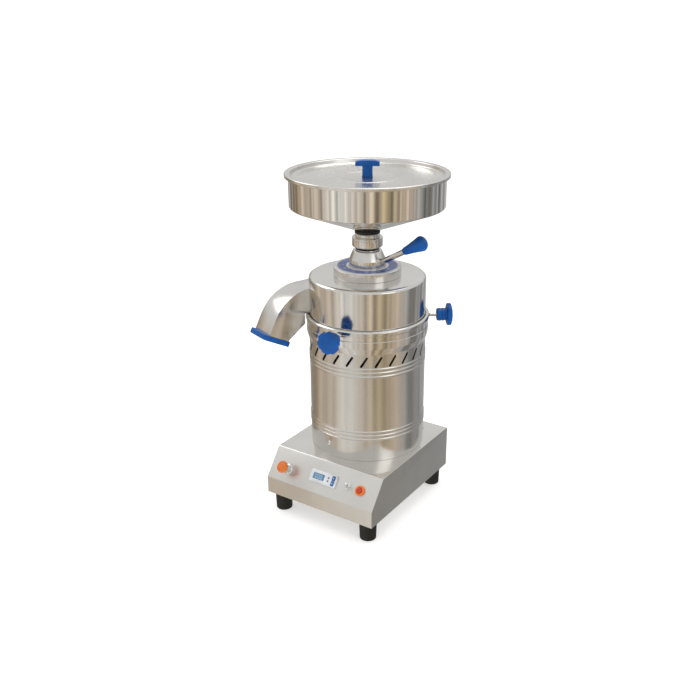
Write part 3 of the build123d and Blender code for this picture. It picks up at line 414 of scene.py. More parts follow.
# ---- finishes -----------------------------------------------------------------------------------------------
class Finish:
    """A material with its main shader, and short ways to add nodes to it."""

    def __init__(self, name):
        self.material = bpy.data.materials.new(name)
        self.material.use_nodes = True
        self.nodes = self.material.node_tree.nodes
        self.links = self.material.node_tree.links
        self.shader = self.nodes["Principled BSDF"]
        self.where = self.nodes.new("ShaderNodeTexCoord").outputs["Object"]

    def speckle(self, scale, stretch=(1, 1, 1), detail=4, rough=0.55):
        """Noise on the piece's own place, finer along the axes that are stretched."""
        mapping = self.nodes.new("ShaderNodeMapping")
        mapping.inputs["Scale"].default_value = stretch
        noise = self.nodes.new("ShaderNodeTexNoise")
        noise.inputs["Scale"].default_value = scale
        noise.inputs["Detail"].default_value = detail
        noise.inputs["Roughness"].default_value = rough
        self.links.new(self.where, mapping.inputs["Vector"])
        self.links.new(mapping.outputs["Vector"], noise.inputs["Vector"])
        return noise.outputs["Fac"]

    def rings(self, scale, distort=0.4):
        """Fine rings about the shaft's axis, as a lathe leaves them."""
        wave = self.nodes.new("ShaderNodeTexWave")
        wave.wave_type = "RINGS"
        wave.rings_direction = "Z"
        wave.inputs["Scale"].default_value = scale
        wave.inputs["Distortion"].default_value = distort
        wave.inputs["Detail"].default_value = 3
        self.links.new(self.where, wave.inputs["Vector"])
        return wave.outputs["Fac"]

    def spread(self, value, low, high, start=0.3, end=0.7):
        """Maps a pattern onto a range of numbers."""
        span = self.nodes.new("ShaderNodeMapRange")
        span.inputs["From Min"].default_value = start
        span.inputs["From Max"].default_value = end
        span.inputs["To Min"].default_value = low
        span.inputs["To Max"].default_value = high
        self.links.new(value, span.inputs["Value"])
        return span.outputs["Result"]

    def tint(self, value, stops):
        """Maps a pattern onto colours."""
        ramp = self.nodes.new("ShaderNodeValToRGB")
        ramp.color_ramp.elements[0].position = stops[0][0]
        ramp.color_ramp.elements[0].color = (*stops[0][1], 1)
        ramp.color_ramp.elements[1].position = stops[-1][0]
        ramp.color_ramp.elements[1].color = (*stops[-1][1], 1)
        for position, colour in stops[1:-1]:
            ramp.color_ramp.elements.new(position).color = (*colour, 1)
        self.links.new(value, ramp.inputs["Fac"])
        return ramp.outputs["Color"]

    def combine(self, first, second, how="ADD"):
        sum_node = self.nodes.new("ShaderNodeMath")
        sum_node.operation = how
        self.links.new(first, sum_node.inputs[0])
        if isinstance(second, float):
            sum_node.inputs[1].default_value = second
        else:
            self.links.new(second, sum_node.inputs[1])
        return sum_node.outputs[0]

    def bump(self, value, strength, height):
        """Adds a relief on top of any relief already there."""
        relief = self.nodes.new("ShaderNodeBump")
        relief.inputs["Strength"].default_value = strength
        relief.inputs["Distance"].default_value = height
        self.links.new(value, relief.inputs["Height"])
        socket = self.shader.inputs["Normal"]
        if socket.is_linked:
            self.links.new(socket.links[0].from_socket, relief.inputs["Normal"])
        self.links.new(relief.outputs["Normal"], socket)

    def feed(self, socket, value):
        self.links.new(value, self.shader.inputs[socket])


def shade(colour, factor):
    return tuple(min(1.0, c * factor) for c in colour)


def sheet_steel(name, colour, grain, low, high, smear=0.06, grain_depth=0.012, waves=0.0):
    """Stainless sheet: fine grain lines, faint smears, and soft waves where it was rolled."""
    finish = Finish(name)
    lines = finish.speckle(1.0, grain, detail=3, rough=0.6)
    smears = finish.speckle(9.0, (1, 1, 0.5), detail=5)
    marks = finish.speckle(60.0, (1, 1, 1), detail=6, rough=0.7)
    finish.shader.inputs["Metallic"].default_value = 1.0
    finish.feed("Base Color", finish.tint(smears, [(0.3, shade(colour, 0.93)), (0.7, shade(colour, 1.05))]))
    base = finish.spread(lines, low, high)
    smudge = finish.spread(smears, 0.0, smear, 0.45, 0.75)
    scuff = finish.spread(marks, 0.0, smear * 0.8, 0.58, 0.8)
    finish.feed("Roughness", finish.combine(finish.combine(base, smudge), scuff))
    finish.bump(lines, 0.35, grain_depth * MM)
    if waves:
        rolling = finish.speckle(7.0, (1, 1, 0.25), detail=2)
        finish.bump(rolling, 1.0, waves * MM)
    return finish.material


def turned_steel(name, colour, low, high, rings=900.0):
    """Machined steel with the fine rings that turning leaves."""
    finish = Finish(name)
    cuts = finish.speckle(1.0, (18, 18, 2600), detail=3)
    face = finish.rings(rings)
    patches = finish.speckle(30.0, detail=5)
    finish.shader.inputs["Metallic"].default_value = 1.0
    finish.feed("Base Color", finish.tint(patches, [(0.3, shade(colour, 0.9)), (0.7, shade(colour, 1.06))]))
    finish.feed("Roughness", finish.combine(finish.spread(cuts, low, high), finish.spread(patches, 0, 0.06)))
    finish.bump(cuts, 0.3, 0.012 * MM)
    finish.bump(face, 0.12, 0.01 * MM)
    return finish.material


def moulded(name, colour, low, high, coat=0.0, grain=900.0, grain_depth=0.02, gloss=0.5):
    """Moulded plastic: a faint flow pattern in the colour, fine grain, and scuffs that dull the gloss."""
    finish = Finish(name)
    flow = finish.speckle(22.0, (1, 1, 2.2), detail=3)
    grit = finish.speckle(grain, detail=3)
    scuffs = finish.speckle(140.0, (1, 6, 1), detail=6, rough=0.7)
    finish.feed("Base Color", finish.tint(flow, [(0.32, shade(colour, 0.82)), (0.7, shade(colour, 1.18))]))
    finish.feed(
        "Roughness", finish.combine(finish.spread(grit, low, high), finish.spread(scuffs, 0, 0.1, 0.55, 0.8)),
    )
    finish.shader.inputs["IOR"].default_value = 1.5
    finish.shader.inputs["Specular IOR Level"].default_value = gloss
    finish.shader.inputs["Coat Weight"].default_value = coat
    finish.shader.inputs["Coat Roughness"].default_value = 0.06
    finish.bump(grit, 0.25, grain_depth * MM)
    finish.bump(flow, 0.3, 0.15 * MM)
    return finish.material


def rubber(name):
    """Black rubber with mould grain and a little pale dust."""
    finish = Finish(name)
    grit = finish.speckle(1400.0, detail=4)
    dust = finish.speckle(80.0, detail=6, rough=0.7)
    finish.feed(
        "Base Color", finish.tint(dust, [(0.45, (0.003, 0.003, 0.003)), (0.85, (0.010, 0.010, 0.009))]),
    )
    finish.feed("Roughness", finish.spread(dust, 0.42, 0.7))
    finish.bump(grit, 0.4, 0.05 * MM)
    return finish.material


def millstone(name):
    """Dressed stone: pale grit in a darker bond, with small pits."""
    finish = Finish(name)
    cells = finish.nodes.new("ShaderNodeTexVoronoi")
    cells.inputs["Scale"].default_value = 520.0
    finish.links.new(finish.where, cells.inputs["Vector"])
    pits = finish.speckle(260.0, detail=6, rough=0.7)
    colours = [(0.1, (0.30, 0.27, 0.22)), (0.5, (0.50, 0.46, 0.38)), (0.9, (0.66, 0.63, 0.56))]
    finish.feed("Base Color", finish.tint(cells.outputs["Color"], colours))
    finish.feed("Roughness", finish.spread(pits, 0.75, 0.95))
    finish.bump(pits, 0.8, 0.5 * MM)
    return finish.material


def cast_metal(name, colour, metallic, low, high):
    """Cast metal with a sand-cast skin."""
    finish = Finish(name)
    skin = finish.speckle(420.0, detail=6, rough=0.65)
    patches = finish.speckle(18.0, detail=4)
    finish.shader.inputs["Metallic"].default_value = metallic
    finish.feed("Base Color", finish.tint(patches, [(0.3, shade(colour, 0.8)), (0.7, shade(colour, 1.15))]))
    finish.feed("Roughness", finish.spread(skin, low, high))
    finish.bump(skin, 0.6, 0.25 * MM)
    return finish.material


def windings(name):
    """Lacquered copper wire wound round the stator."""
    finish = Finish(name)
    wires = finish.speckle(1.0, (60, 60, 1400), detail=2)
    finish.shader.inputs["Metallic"].default_value = 0.9
    finish.feed("Base Color", finish.tint(wires, [(0.35, (0.30, 0.10, 0.03)), (0.65, (0.62, 0.28, 0.10))]))
    finish.feed("Roughness", finish.spread(wires, 0.25, 0.45))
    finish.bump(wires, 0.8, 0.3 * MM)
    return finish.material


def display_glass(name, colour):
    """A blue display: a fine grid of cells under a glossy cover."""
    finish = Finish(name)
    grid = finish.speckle(1.0, (2600, 60, 60), detail=1)
    glow = finish.speckle(45.0, detail=2)
    finish.feed("Base Color", finish.tint(glow, [(0.3, shade(colour, 0.8)), (0.7, shade(colour, 1.35))]))
    finish.feed("Roughness", finish.spread(grid, 0.16, 0.26))
    finish.shader.inputs["Coat Weight"].default_value = 1.0
    finish.shader.inputs["Coat Roughness"].default_value = 0.03
    finish.bump(grid, 0.2, 0.01 * MM)
    return finish.material


FINISHES = {}


def make_finishes():
    """One material for each finish on the mill."""
    colours = bpy.context.scene.mill_colours
    steel = tuple(colours.steel)
    along_x = (16, 2200, 2200)
    along_y = (2200, 16, 2200)
    around_z = (14, 14, 2400)
    FINISHES.update(
        {
            # The housing's steel comes as three copies of one colour. The sloped panel (1.08) and the deck (1.05)
            # are painted lighter as painted highlight, and the sides (0.98) darker as painted shade. Their grain
            # directions and roughness are the sheet's own brushing.
            "panel_steel": sheet_steel("Panel steel", shade(steel, 1.08), along_x, 0.30, 0.42, 0.05),
            "side_steel": sheet_steel("Side steel", shade(steel, 0.98), along_y, 0.28, 0.38, 0.05),
            "deck_steel": sheet_steel("Deck steel", shade(steel, 1.05), along_x, 0.06, 0.10, 0.03),
            "drum_steel": sheet_steel("Drum steel", steel, around_z, 0.19, 0.25, 0.04, 0.005, 0.05),
            "casing_steel": sheet_steel(
                "Casing steel", shade(steel, 1.03), around_z, 0.13, 0.17, 0.03, 0.002, 0.03,
            ),
            "chute_steel": sheet_steel(
                "Chute steel", shade(steel, 1.0), (60, 60, 500), 0.17, 0.24, 0.03, 0.002,
            ),
            "hopper_steel": sheet_steel(
                "Hopper steel", shade(steel, 1.04), around_z, 0.05, 0.08, 0.03, 0.002, 0.03,
            ),
            "lid_steel": sheet_steel("Lid steel", shade(steel, 1.06), (30, 30, 30), 0.22, 0.27, 0.03, 0.002),
            "machined_steel": turned_steel("Machined steel", shade(steel, 1.02), 0.10, 0.24),
            "chrome": turned_steel("Chrome", (0.80, 0.80, 0.81), 0.04, 0.10),
            "cast_aluminium": cast_metal("Cast aluminium", (0.56, 0.56, 0.55), 1.0, 0.35, 0.55),
            "motor_iron": cast_metal("Painted iron", (0.045, 0.05, 0.055), 0.0, 0.45, 0.7),
            "copper": windings("Wound copper"),
            "blue_plastic": moulded("Blue plastic", tuple(colours.blue), 0.18, 0.28, 0.06, gloss=0.25),
            "blue_trim": moulded("Blue trim", shade(tuple(colours.blue), 1.15), 0.34, 0.48, gloss=0.3),
            "key_blue": moulded("Key blue", (0.008, 0.13, 0.42), 0.35, 0.5),
            "orange_plastic": moulded("Orange plastic", tuple(colours.orange), 0.2, 0.32, 0.3),
            "red_plastic": moulded("Red plastic", tuple(colours.red), 0.2, 0.32, 0.3),
            "white_plastic": moulded("White plastic", (0.74, 0.76, 0.79), 0.3, 0.42),
            "grey_plastic": moulded("Grey plastic", (0.22, 0.24, 0.27), 0.35, 0.5),
            "black_plastic": moulded("Black plastic", (0.012, 0.012, 0.013), 0.35, 0.5),
            "scale_enamel": moulded("White enamel", (0.80, 0.82, 0.86), 0.14, 0.22, 0.4, 300.0, 0.01),
            "scale_blue": moulded("Blue enamel", (0.008, 0.07, 0.40), 0.24, 0.34, 0.15, 300.0, 0.01),
            "display_blue": display_glass("Display blue", tuple(colours.display)),
            "display_marks": moulded("Display marks", (0.62, 0.80, 0.95), 0.3, 0.4),
            "black_rubber": rubber("Black rubber"),
            "millstone": millstone("Dressed millstone"),
        }
    )
    # The fixed housing takes the side copy, with its painted shade.
    FINISHES["housing_steel"] = FINISHES["side_steel"]


# ---- operators: one for each piece or group of like pieces ---------------------------------------------------
class MILL_OT_finishes(bpy.types.Operator):
    """Makes the finishes and gives each fixed piece its own"""

    bl_idname = "mill.finishes"
    bl_label = "Finishes"

    def execute(self, context):
        make_finishes()
        slots = {part["node"]: part["material_slot"] for part in frame["record"]["subparts"]}
        for node, piece in frame["nodes"].items():
            piece.data.materials.clear()
            piece.data.materials.append(FINISHES[slots[node]])
        return {"FINISHED"}


class MILL_OT_housing(bpy.types.Operator):
    """Builds the folded base housing with its sloped panel"""

    bl_idname = "mill.housing"
    bl_label = "Base housing"

    def execute(self, context):
        sheet = context.scene.mill_sizes.sheet
        nose = BASE_LOW.z + 37.5 * MM
        lean = BASE_LOW.y + 45 * MM
        corners = [
            (BASE_LOW.y, BASE_LOW.z),
            (BASE_LOW.y, nose, 4 * MM),
            (lean, BASE_TOP, 4 * MM),
            (BASE_HIGH.y, BASE_TOP, 3 * MM),
            (BASE_HIGH.y, BASE_LOW.z),
        ]
        width = BASE_HIGH.x - BASE_LOW.x
        housing = slab("base_shell", corners, width, upright=False)
        place(housing, Matrix.Translation((BASE_LOW.x, 0, 0)))
        edit(housing)
        pick("edges", lambda spot, along: abs(abs(spot.x) - width / 2) < 1e-5 and spot.z > BASE_LOW.z + MM)
        bpy.ops.mesh.bevel(offset=1.3 * MM, segments=3, affect="EDGES")
        pick("faces", lambda spot, normal: normal.z < -0.9)
        bpy.ops.mesh.delete(type="FACE")
        bpy.ops.object.mode_set(mode="OBJECT")
        thick = housing.modifiers.new("Sheet", "SOLIDIFY")
        thick.thickness = sheet
        thick.offset = -1
        choose(housing)
        bpy.ops.object.modifier_apply(modifier=thick.name)
        holes = [
            place(prism("hole", 48, 8 * MM, -9 * MM, 9 * MM), on_panel(-91 * MM, 29 * MM)),
            place(prism("hole", 48, 6 * MM, -9 * MM, 9 * MM), on_panel(62 * MM, 36 * MM)),
            place(prism("hole", 48, 8 * MM, -9 * MM, 9 * MM), on_panel(94 * MM, 35 * MM)),
            place(block("hole", (60 * MM, 22 * MM, 18 * MM)), on_panel(2 * MM, 35.5 * MM)),
            place(
                prism("hole", 48, 8 * MM, -9 * MM, 9 * MM),
                Matrix.Translation((80 * MM, BASE_HIGH.y, 85 * MM)) @ Matrix.Rotation(math.pi / 2, 4, "X"),
            ),
            place(prism("hole", 64, 28 * MM, -9 * MM, 9 * MM), Matrix.Translation((0, 0, BASE_TOP))),
        ]
        cut(housing, *holes)
        housing.data.materials.clear()
        for finish in ("panel_steel", "side_steel", "deck_steel"):
            housing.data.materials.append(FINISHES[finish])
        # Each face takes its copy by direction: the sides and back get the darker painted-shade copy, and the top
        # deck and sloped panel get the lighter painted-highlight copies.
        for face in housing.data.polygons:
            if abs(face.normal.x) > 0.5 or face.normal.y > 0.7:
                face.material_index = 1
            elif face.normal.z > 0.95:
                face.material_index = 2
            else:
                face.material_index = 0
        hand_over(housing, "base", None, ["base_housing"], smooth=40)
        return {"FINISHED"}


class MILL_OT_feet(bpy.types.Operator):
    """Builds the four rubber feet"""

    bl_idname = "mill.feet"
    bl_label = "Rubber feet"

    def execute(self, context):
        height = FEET_HIGH.z
        foot = turned(
            "foot",
            [
                (4.3 * MM, height),
                (19.4 * MM, height, 1.2 * MM),
                (19.2 * MM, height - 4 * MM, 0.5 * MM),
                (18.7 * MM, height - 4.6 * MM, 0.5 * MM),
                (17.5 * MM, 1.2 * MM, 2.2 * MM),
                (16.2 * MM, 0.0, 0.8 * MM),
                (13.0 * MM, 0.0, 0.4 * MM),
                (12.2 * MM, 1.0 * MM, 0.4 * MM),
                (9.2 * MM, 1.0 * MM, 0.5 * MM),
                (9.2 * MM, 12 * MM),
                (4.3 * MM, 12 * MM),
            ],
            SMALL_STEPS,
        )
        inset = 25 * MM
        spots = [
            Matrix.Translation((x, y, 0))
            for x in (BASE_LOW.x + inset, BASE_HIGH.x - inset)
            for y in (BASE_LOW.y + inset, BASE_HIGH.y - inset)
        ]
        feet = copies("rubber_foot_mouldings", foot, spots)
        hand_over(feet, "base", FINISHES["black_rubber"], ["rubber_feet"])
        return {"FINISHED"}


class MILL_OT_drum(bpy.types.Operator):
    """Builds the motor drum with its rolled beads and leaning vent slots"""

    bl_idname = "mill.drum"
    bl_label = "Motor drum"

    def execute(self, context):
        sizes = context.scene.mill_sizes
        radius = sizes.drum_radius
        inner = radius - sizes.sheet
        wall = [(inner, BASE_TOP), (radius, BASE_TOP, 0.8 * MM)]
        for height in (51.0, 59.5, 68.0, 195.0, 203.5, 212.0):
            middle = BASE_TOP + height * MM
            wall += [
                (radius, middle - 2.9 * MM, 0.9 * MM),
                (radius + 1.15 * MM, middle - 0.7 * MM, 1.1 * MM),
                (radius + 1.15 * MM, middle + 0.7 * MM, 1.1 * MM),
                (radius, middle + 2.9 * MM, 0.9 * MM),
            ]
        wall += [(radius, DRUM_HIGH.z), (inner, DRUM_HIGH.z)]
        drum = turned("drum_shell", wall)
        slot = block(
            "slot",
            (14 * MM, sizes.slot_width, sizes.slot_length),
            (0, 0, 0),
            sizes.slot_width * 0.46,
            5,
            lambda spot, along: abs(along.x) > 0.9,
        )
        lean = Matrix.Rotation(-sizes.slot_lean, 4, "X")
        spots = ring_of(sizes.slot_count, radius, BASE_TOP + 228 * MM, sizes.slot_phase)
        slots = copies("slots", slot, [spot @ lean for spot in spots])
        screw_hole = prism("hole", 24, 2.6 * MM, -8 * MM, 8 * MM)
        screw_spots = [outward(math.radians(-97.5 + 120 * k), radius, BASE_TOP + 29 * MM) for k in range(3)]
        cut(drum, slots, copies("holes", screw_hole, screw_spots))
        hand_over(drum, "base", FINISHES["drum_steel"], ["motor_drum"], smooth=28)
        head = turned(
            "screw",
            [
                (0, 2.5 * MM),
                (1.5 * MM, 2.45 * MM),
                (3.4 * MM, 1.9 * MM, 1.2 * MM),
                (4.6 * MM, 0.5 * MM, 0.4 * MM),
                (4.6 * MM, 0.05 * MM),
                (2.5 * MM, 0.05 * MM),
                (2.5 * MM, -8.6 * MM, 0.4 * MM),
                (0, -8.9 * MM),
            ],
            40,
            closed=False,
        )
        cross = [
            block("cross", (4.6 * MM, 1.0 * MM, 2.4 * MM), (0, 0, 2.6 * MM)),
            block("cross", (1.0 * MM, 4.6 * MM, 2.4 * MM), (0, 0, 2.6 * MM)),
        ]
        cut(head, *cross)
        screws = copies("drum_screw_heads", head, screw_spots)
        hand_over(screws, "base", FINISHES["chrome"], ["drum_screws"])
        return {"FINISHED"}


class MILL_OT_collar(bpy.types.Operator):
    """Builds the clamp collar with its rolled lip"""

    bl_idname = "mill.collar"
    bl_label = "Clamp collar"

    def execute(self, context):
        low, high = COLLAR_LOW.z, COLLAR_HIGH.z
        outer = COLLAR_HIGH.x
        waist = outer - 1.6 * MM
        bore = context.scene.mill_sizes.drum_radius + 0.2 * MM
        lip = high - 10.5 * MM
        collar = turned(
            "collar_shell",
            [
                (bore, low),
                (bore + 0.9 * MM, low, 0.3 * MM),
                (waist - 0.2 * MM, low + 13.5 * MM, 6 * MM),
                (waist, lip - 13.2 * MM, 0.3 * MM),
                (waist - 0.7 * MM, lip - 12.4 * MM, 0.3 * MM),
                (waist - 0.7 * MM, lip - 11.8 * MM, 0.3 * MM),
                (waist, lip - 11.0 * MM, 0.3 * MM),
                (waist, lip - 0.6 * MM, 0.5 * MM),
                (outer, lip + 0.9 * MM, 1.6 * MM),
                (outer, high, 4.6 * MM),
                (bore + 0.2 * MM, high, 0.8 * MM),
            ],
        )
        hole = prism("hole", 40, 4.05 * MM, -12 * MM, 12 * MM)
        spots = [outward(clamp_angle(k), bore + 3 * MM, CLAMP_HEIGHT) for k in range(3)]
        cut(collar, copies("holes", hole, spots))
        hand_over(collar, "base", FINISHES["casing_steel"], ["clamp_collar"], smooth=28)
        return {"FINISHED"}


CLAMP_HEIGHT = COLLAR_HIGH.z - 12 * MM


CLAMP_FIRST = math.radians(-83)


def clamp_angle(k):
    return CLAMP_FIRST + k * TURN / 3


CHUTE_TURN = Matrix.Rotation(math.radians(249.5), 4, "Z")
CHUTE_NEAR = 59.5 * MM
CHUTE_WIDTH = 59 * MM


class MILL_OT_casing(bpy.types.Operator):
    """Builds the round mill casing, open where the chute leaves it"""

    bl_idname = "mill.casing"
    bl_label = "Mill casing"

    def execute(self, context):
        sizes = context.scene.mill_sizes
        low, high = CASING_LOW.z, CASING_HIGH.z
        outer = CASING_HIGH.x
        inner = outer - sizes.sheet
        edge = sizes.casing_edge
        casing = turned(
            "casing_shell",
            [
                (inner, low),
                (outer, low, 0.6 * MM),
                (outer, high, edge),
                (36 * MM, high),
                (36 * MM, high - 3 * MM),
                (inner, high - 3 * MM, edge - sizes.sheet),
            ],
        )
        duct = block(
            "duct",
            (130 * MM, CHUTE_WIDTH - 3 * MM, 48.5 * MM),
            (70 * MM, -CHUTE_NEAR - CHUTE_WIDTH / 2, high - 55 * MM),
        )
        place(duct, CHUTE_TURN)
        cut(casing, duct)
        hand_over(casing, "head", FINISHES["casing_steel"], ["mill_casing"], smooth=28)
        return {"FINISHED"}


class MILL_OT_chute(bpy.types.Operator):
    """Builds the folded outlet chute and the blue edging round its mouth"""

    bl_idname = "mill.chute"
    bl_label = "Outlet chute"

    def execute(self, context):
        roof = CASING_HIGH.z - 27.8 * MM
        drop = math.radians(63)
        bend = 98 * MM
        reach = bend * math.tan(drop / 2)
        straight_top = 105 * MM
        corner = (straight_top + reach, roof)
        run = reach + 44 * MM
        end = (corner[0] + run * math.cos(drop), roof - run * math.sin(drop))
        depth = 52 * MM
        lip = (end[0] - depth * math.sin(drop), end[1] - depth * math.cos(drop))
        straight = 13 * MM
        fold = (lip[0] - straight * math.cos(drop), lip[1] + straight * math.sin(drop))
        clear = COLLAR_HIGH.x + 1.6 * MM
        out_past = math.sqrt(clear**2 - CHUTE_NEAR**2)
        knee = (out_past, COLLAR_HIGH.z - 20.5 * MM)
        floor = COLLAR_HIGH.z + 1.5 * MM
        start = 62 * MM
        sides = [(start, roof), (corner[0], corner[1], bend), end, lip, fold, knee]
        sides += [(out_past, floor), (start, floor)]
        chute = slab("chute_shell", sides, -CHUTE_WIDTH)
        edit(chute)
        pick("faces", lambda spot, normal: (spot - Vector((start, spot.y, spot.z))).length < 1e-5)
        bpy.ops.mesh.delete(type="FACE")
        mouth = Vector(((end[0] + lip[0]) / 2, 0, (end[1] + lip[1]) / 2))
        away = Vector((math.cos(drop), 0, -math.sin(drop)))
        pick("faces", lambda spot, normal: abs((spot - mouth).dot(away)) < 1e-5)
        bpy.ops.mesh.delete(type="FACE")
        bpy.ops.object.mode_set(mode="OBJECT")
        thick = chute.modifiers.new("Sheet", "SOLIDIFY")
        thick.thickness = 1.5 * MM
        thick.offset = -1
        thick.use_even_offset = True
        choose(chute)
        bpy.ops.object.modifier_apply(modifier=thick.name)
        soften(chute, 0.7 * MM, 3, 50)
        place(chute, CHUTE_TURN @ Matrix.Translation((0, -CHUTE_NEAR, 0)))
        wall = CASING_HIGH.x + 0.05 * MM
        under, over = roof - 90 * MM, roof + 20 * MM
        core = turned("core", [(0, under), (wall, under), (wall, over), (0, over)], closed=False)
        cut(chute, core)
        hand_over(chute, "head", FINISHES["chute_steel"], ["outlet_chute"], smooth=30)

        middle = Vector((mouth.x, -CHUTE_NEAR - CHUTE_WIDTH / 2, mouth.z))
        across = Vector((0, 1, 0))
        outside = away.cross(across)
        spot = Matrix((across, outside, away)).transposed().to_4x4()
        spot.translation = middle
        near, far, out, height = 2.5 * MM, 5 * MM, 11 * MM, 11 * MM
        edging = block(
            "chute_edging_moulding",
            (CHUTE_WIDTH + near + far, depth + near + out, height),
            ((near - far) / 2, (out - near) / 2, 1.6 * MM - height / 2),
        )
        edit(edging)
        pick("edges", lambda place, along: abs(along.z) > 0.9 and place.y > 0)
        bpy.ops.mesh.bevel(offset=11 * MM, segments=12, affect="EDGES")
        pick("edges", lambda place, along: abs(along.z) > 0.9 and place.y < 0)
        bpy.ops.mesh.bevel(offset=2 * MM, segments=4, affect="EDGES")
        bpy.ops.object.mode_set(mode="OBJECT")
        sleeve = block(
            "sleeve", (CHUTE_WIDTH + 0.2 * MM, depth + 0.2 * MM, height), (0, 0, -height / 2 + 0.1 * MM),
        )
        opening = block("opening", (CHUTE_WIDTH - 3 * MM, depth - 3 * MM, 40 * MM))
        cut(edging, sleeve, opening)
        soften(edging, 0.9 * MM, 3, 40)
        place(edging, CHUTE_TURN @ spot)
        hand_over(edging, "head", FINISHES["blue_trim"], ["chute_edging"], smooth=35)
        return {"FINISHED"}


class MILL_OT_clamps(bpy.types.Operator):
    """Builds the three clamp screws and their lobed knobs"""

    bl_idname = "mill.clamps"
    bl_label = "Clamp knobs"

    def execute(self, context):
        lobes = context.scene.mill_sizes.knob_lobes
        tip = CASING_HIGH.x + 0.3 * MM
        hub_start = COLLAR_HIGH.x - 0.4 * MM + 17 * MM - tip
        for k in range(3):
            where = outward(clamp_angle(k), tip, CLAMP_HEIGHT)
            outline = [(0, 0), (3.4 * MM, 0), (3.9 * MM, 0.6 * MM)]
            for turn in range(7):
                low = (1.6 + 1.25 * turn) * MM
                outline += [(3.9 * MM, low), (3.45 * MM, low + 0.6 * MM), (3.9 * MM, low + 1.2 * MM)]
            rod_end = hub_start + 12 * MM
            outline += [(3.95 * MM, 11.5 * MM, 0.3 * MM), (3.95 * MM, rod_end), (0, rod_end)]
            rod = turned("rod", outline, SMALL_STEPS, closed=False)
            place(rod, where)
            named(f"clamp_rod_{k + 1}")
            hand_over(
                rod, f"screw_{k + 1}", FINISHES["machined_steel"], [f"clamp_screw_{k + 1}"]
            )

            hub = turned(
                "hub",
                [
                    (4.05 * MM, 0.0),
                    (7.0 * MM, 0.0, 0.5 * MM),
                    (7.6 * MM, 0.9 * MM, 0.4 * MM),
                    (12.6 * MM, 0.9 * MM, 1.6 * MM),
                    (13.9 * MM, 4.0 * MM, 2.0 * MM),
                    (13.9 * MM, 9.2 * MM, 0.4 * MM),
                    (13.0 * MM, 10.0 * MM, 0.5 * MM),
                    (13.0 * MM, 11.2 * MM, 0.5 * MM),
                    (13.9 * MM, 12.0 * MM, 0.4 * MM),
                    (13.9 * MM, 16.6 * MM, 0.4 * MM),
                    (13.0 * MM, 17.4 * MM, 0.5 * MM),
                    (13.0 * MM, 18.6 * MM, 0.5 * MM),
                    (14.0 * MM, 19.6 * MM, 0.6 * MM),
                    (14.2 * MM, 23 * MM),
                    (4.05 * MM, 23 * MM),
                ],
                SMALL_STEPS,
            )
            star = turned(
                "star",
                [
                    (0, 35.0 * MM),
                    (9 * MM, 34.8 * MM, 12 * MM),
                    (17 * MM, 33.6 * MM, 14 * MM),
                    (24 * MM, 31.2 * MM, 2.4 * MM),
                    (24 * MM, 23.2 * MM, 2.0 * MM),
                    (19 * MM, 22.0 * MM, 3 * MM),
                    (0, 22.0 * MM),
                ],
                96,
                closed=False,
            )
            bite = prism("bite", 48, 8 * MM, 10 * MM, 50 * MM)
            cut(star, copies("bites", bite, ring_of(lobes, 29.2 * MM, 0, math.radians(15))))
            soften(star, 1.3 * MM, 4, 38)
            cap_line = turned(
                "cap",
                [(0, 35.25 * MM), (6.6 * MM, 35.2 * MM, 0.6 * MM), (7.2 * MM, 34.4 * MM), (0, 34.0 * MM)],
                48,
                closed=False,
            )
            place(cap_line, Matrix.Translation((0, 0, -0.3 * MM)))
            knob = joined(f"star_knob_{k + 1}", [hub, star, cap_line])
            place(knob, where @ Matrix.Translation((0, 0, hub_start)))
            hand_over(
                knob, f"knob_{k + 1}", FINISHES["blue_plastic"], [f"clamp_knob_{k + 1}"], smooth=40
            )
        return {"FINISHED"}


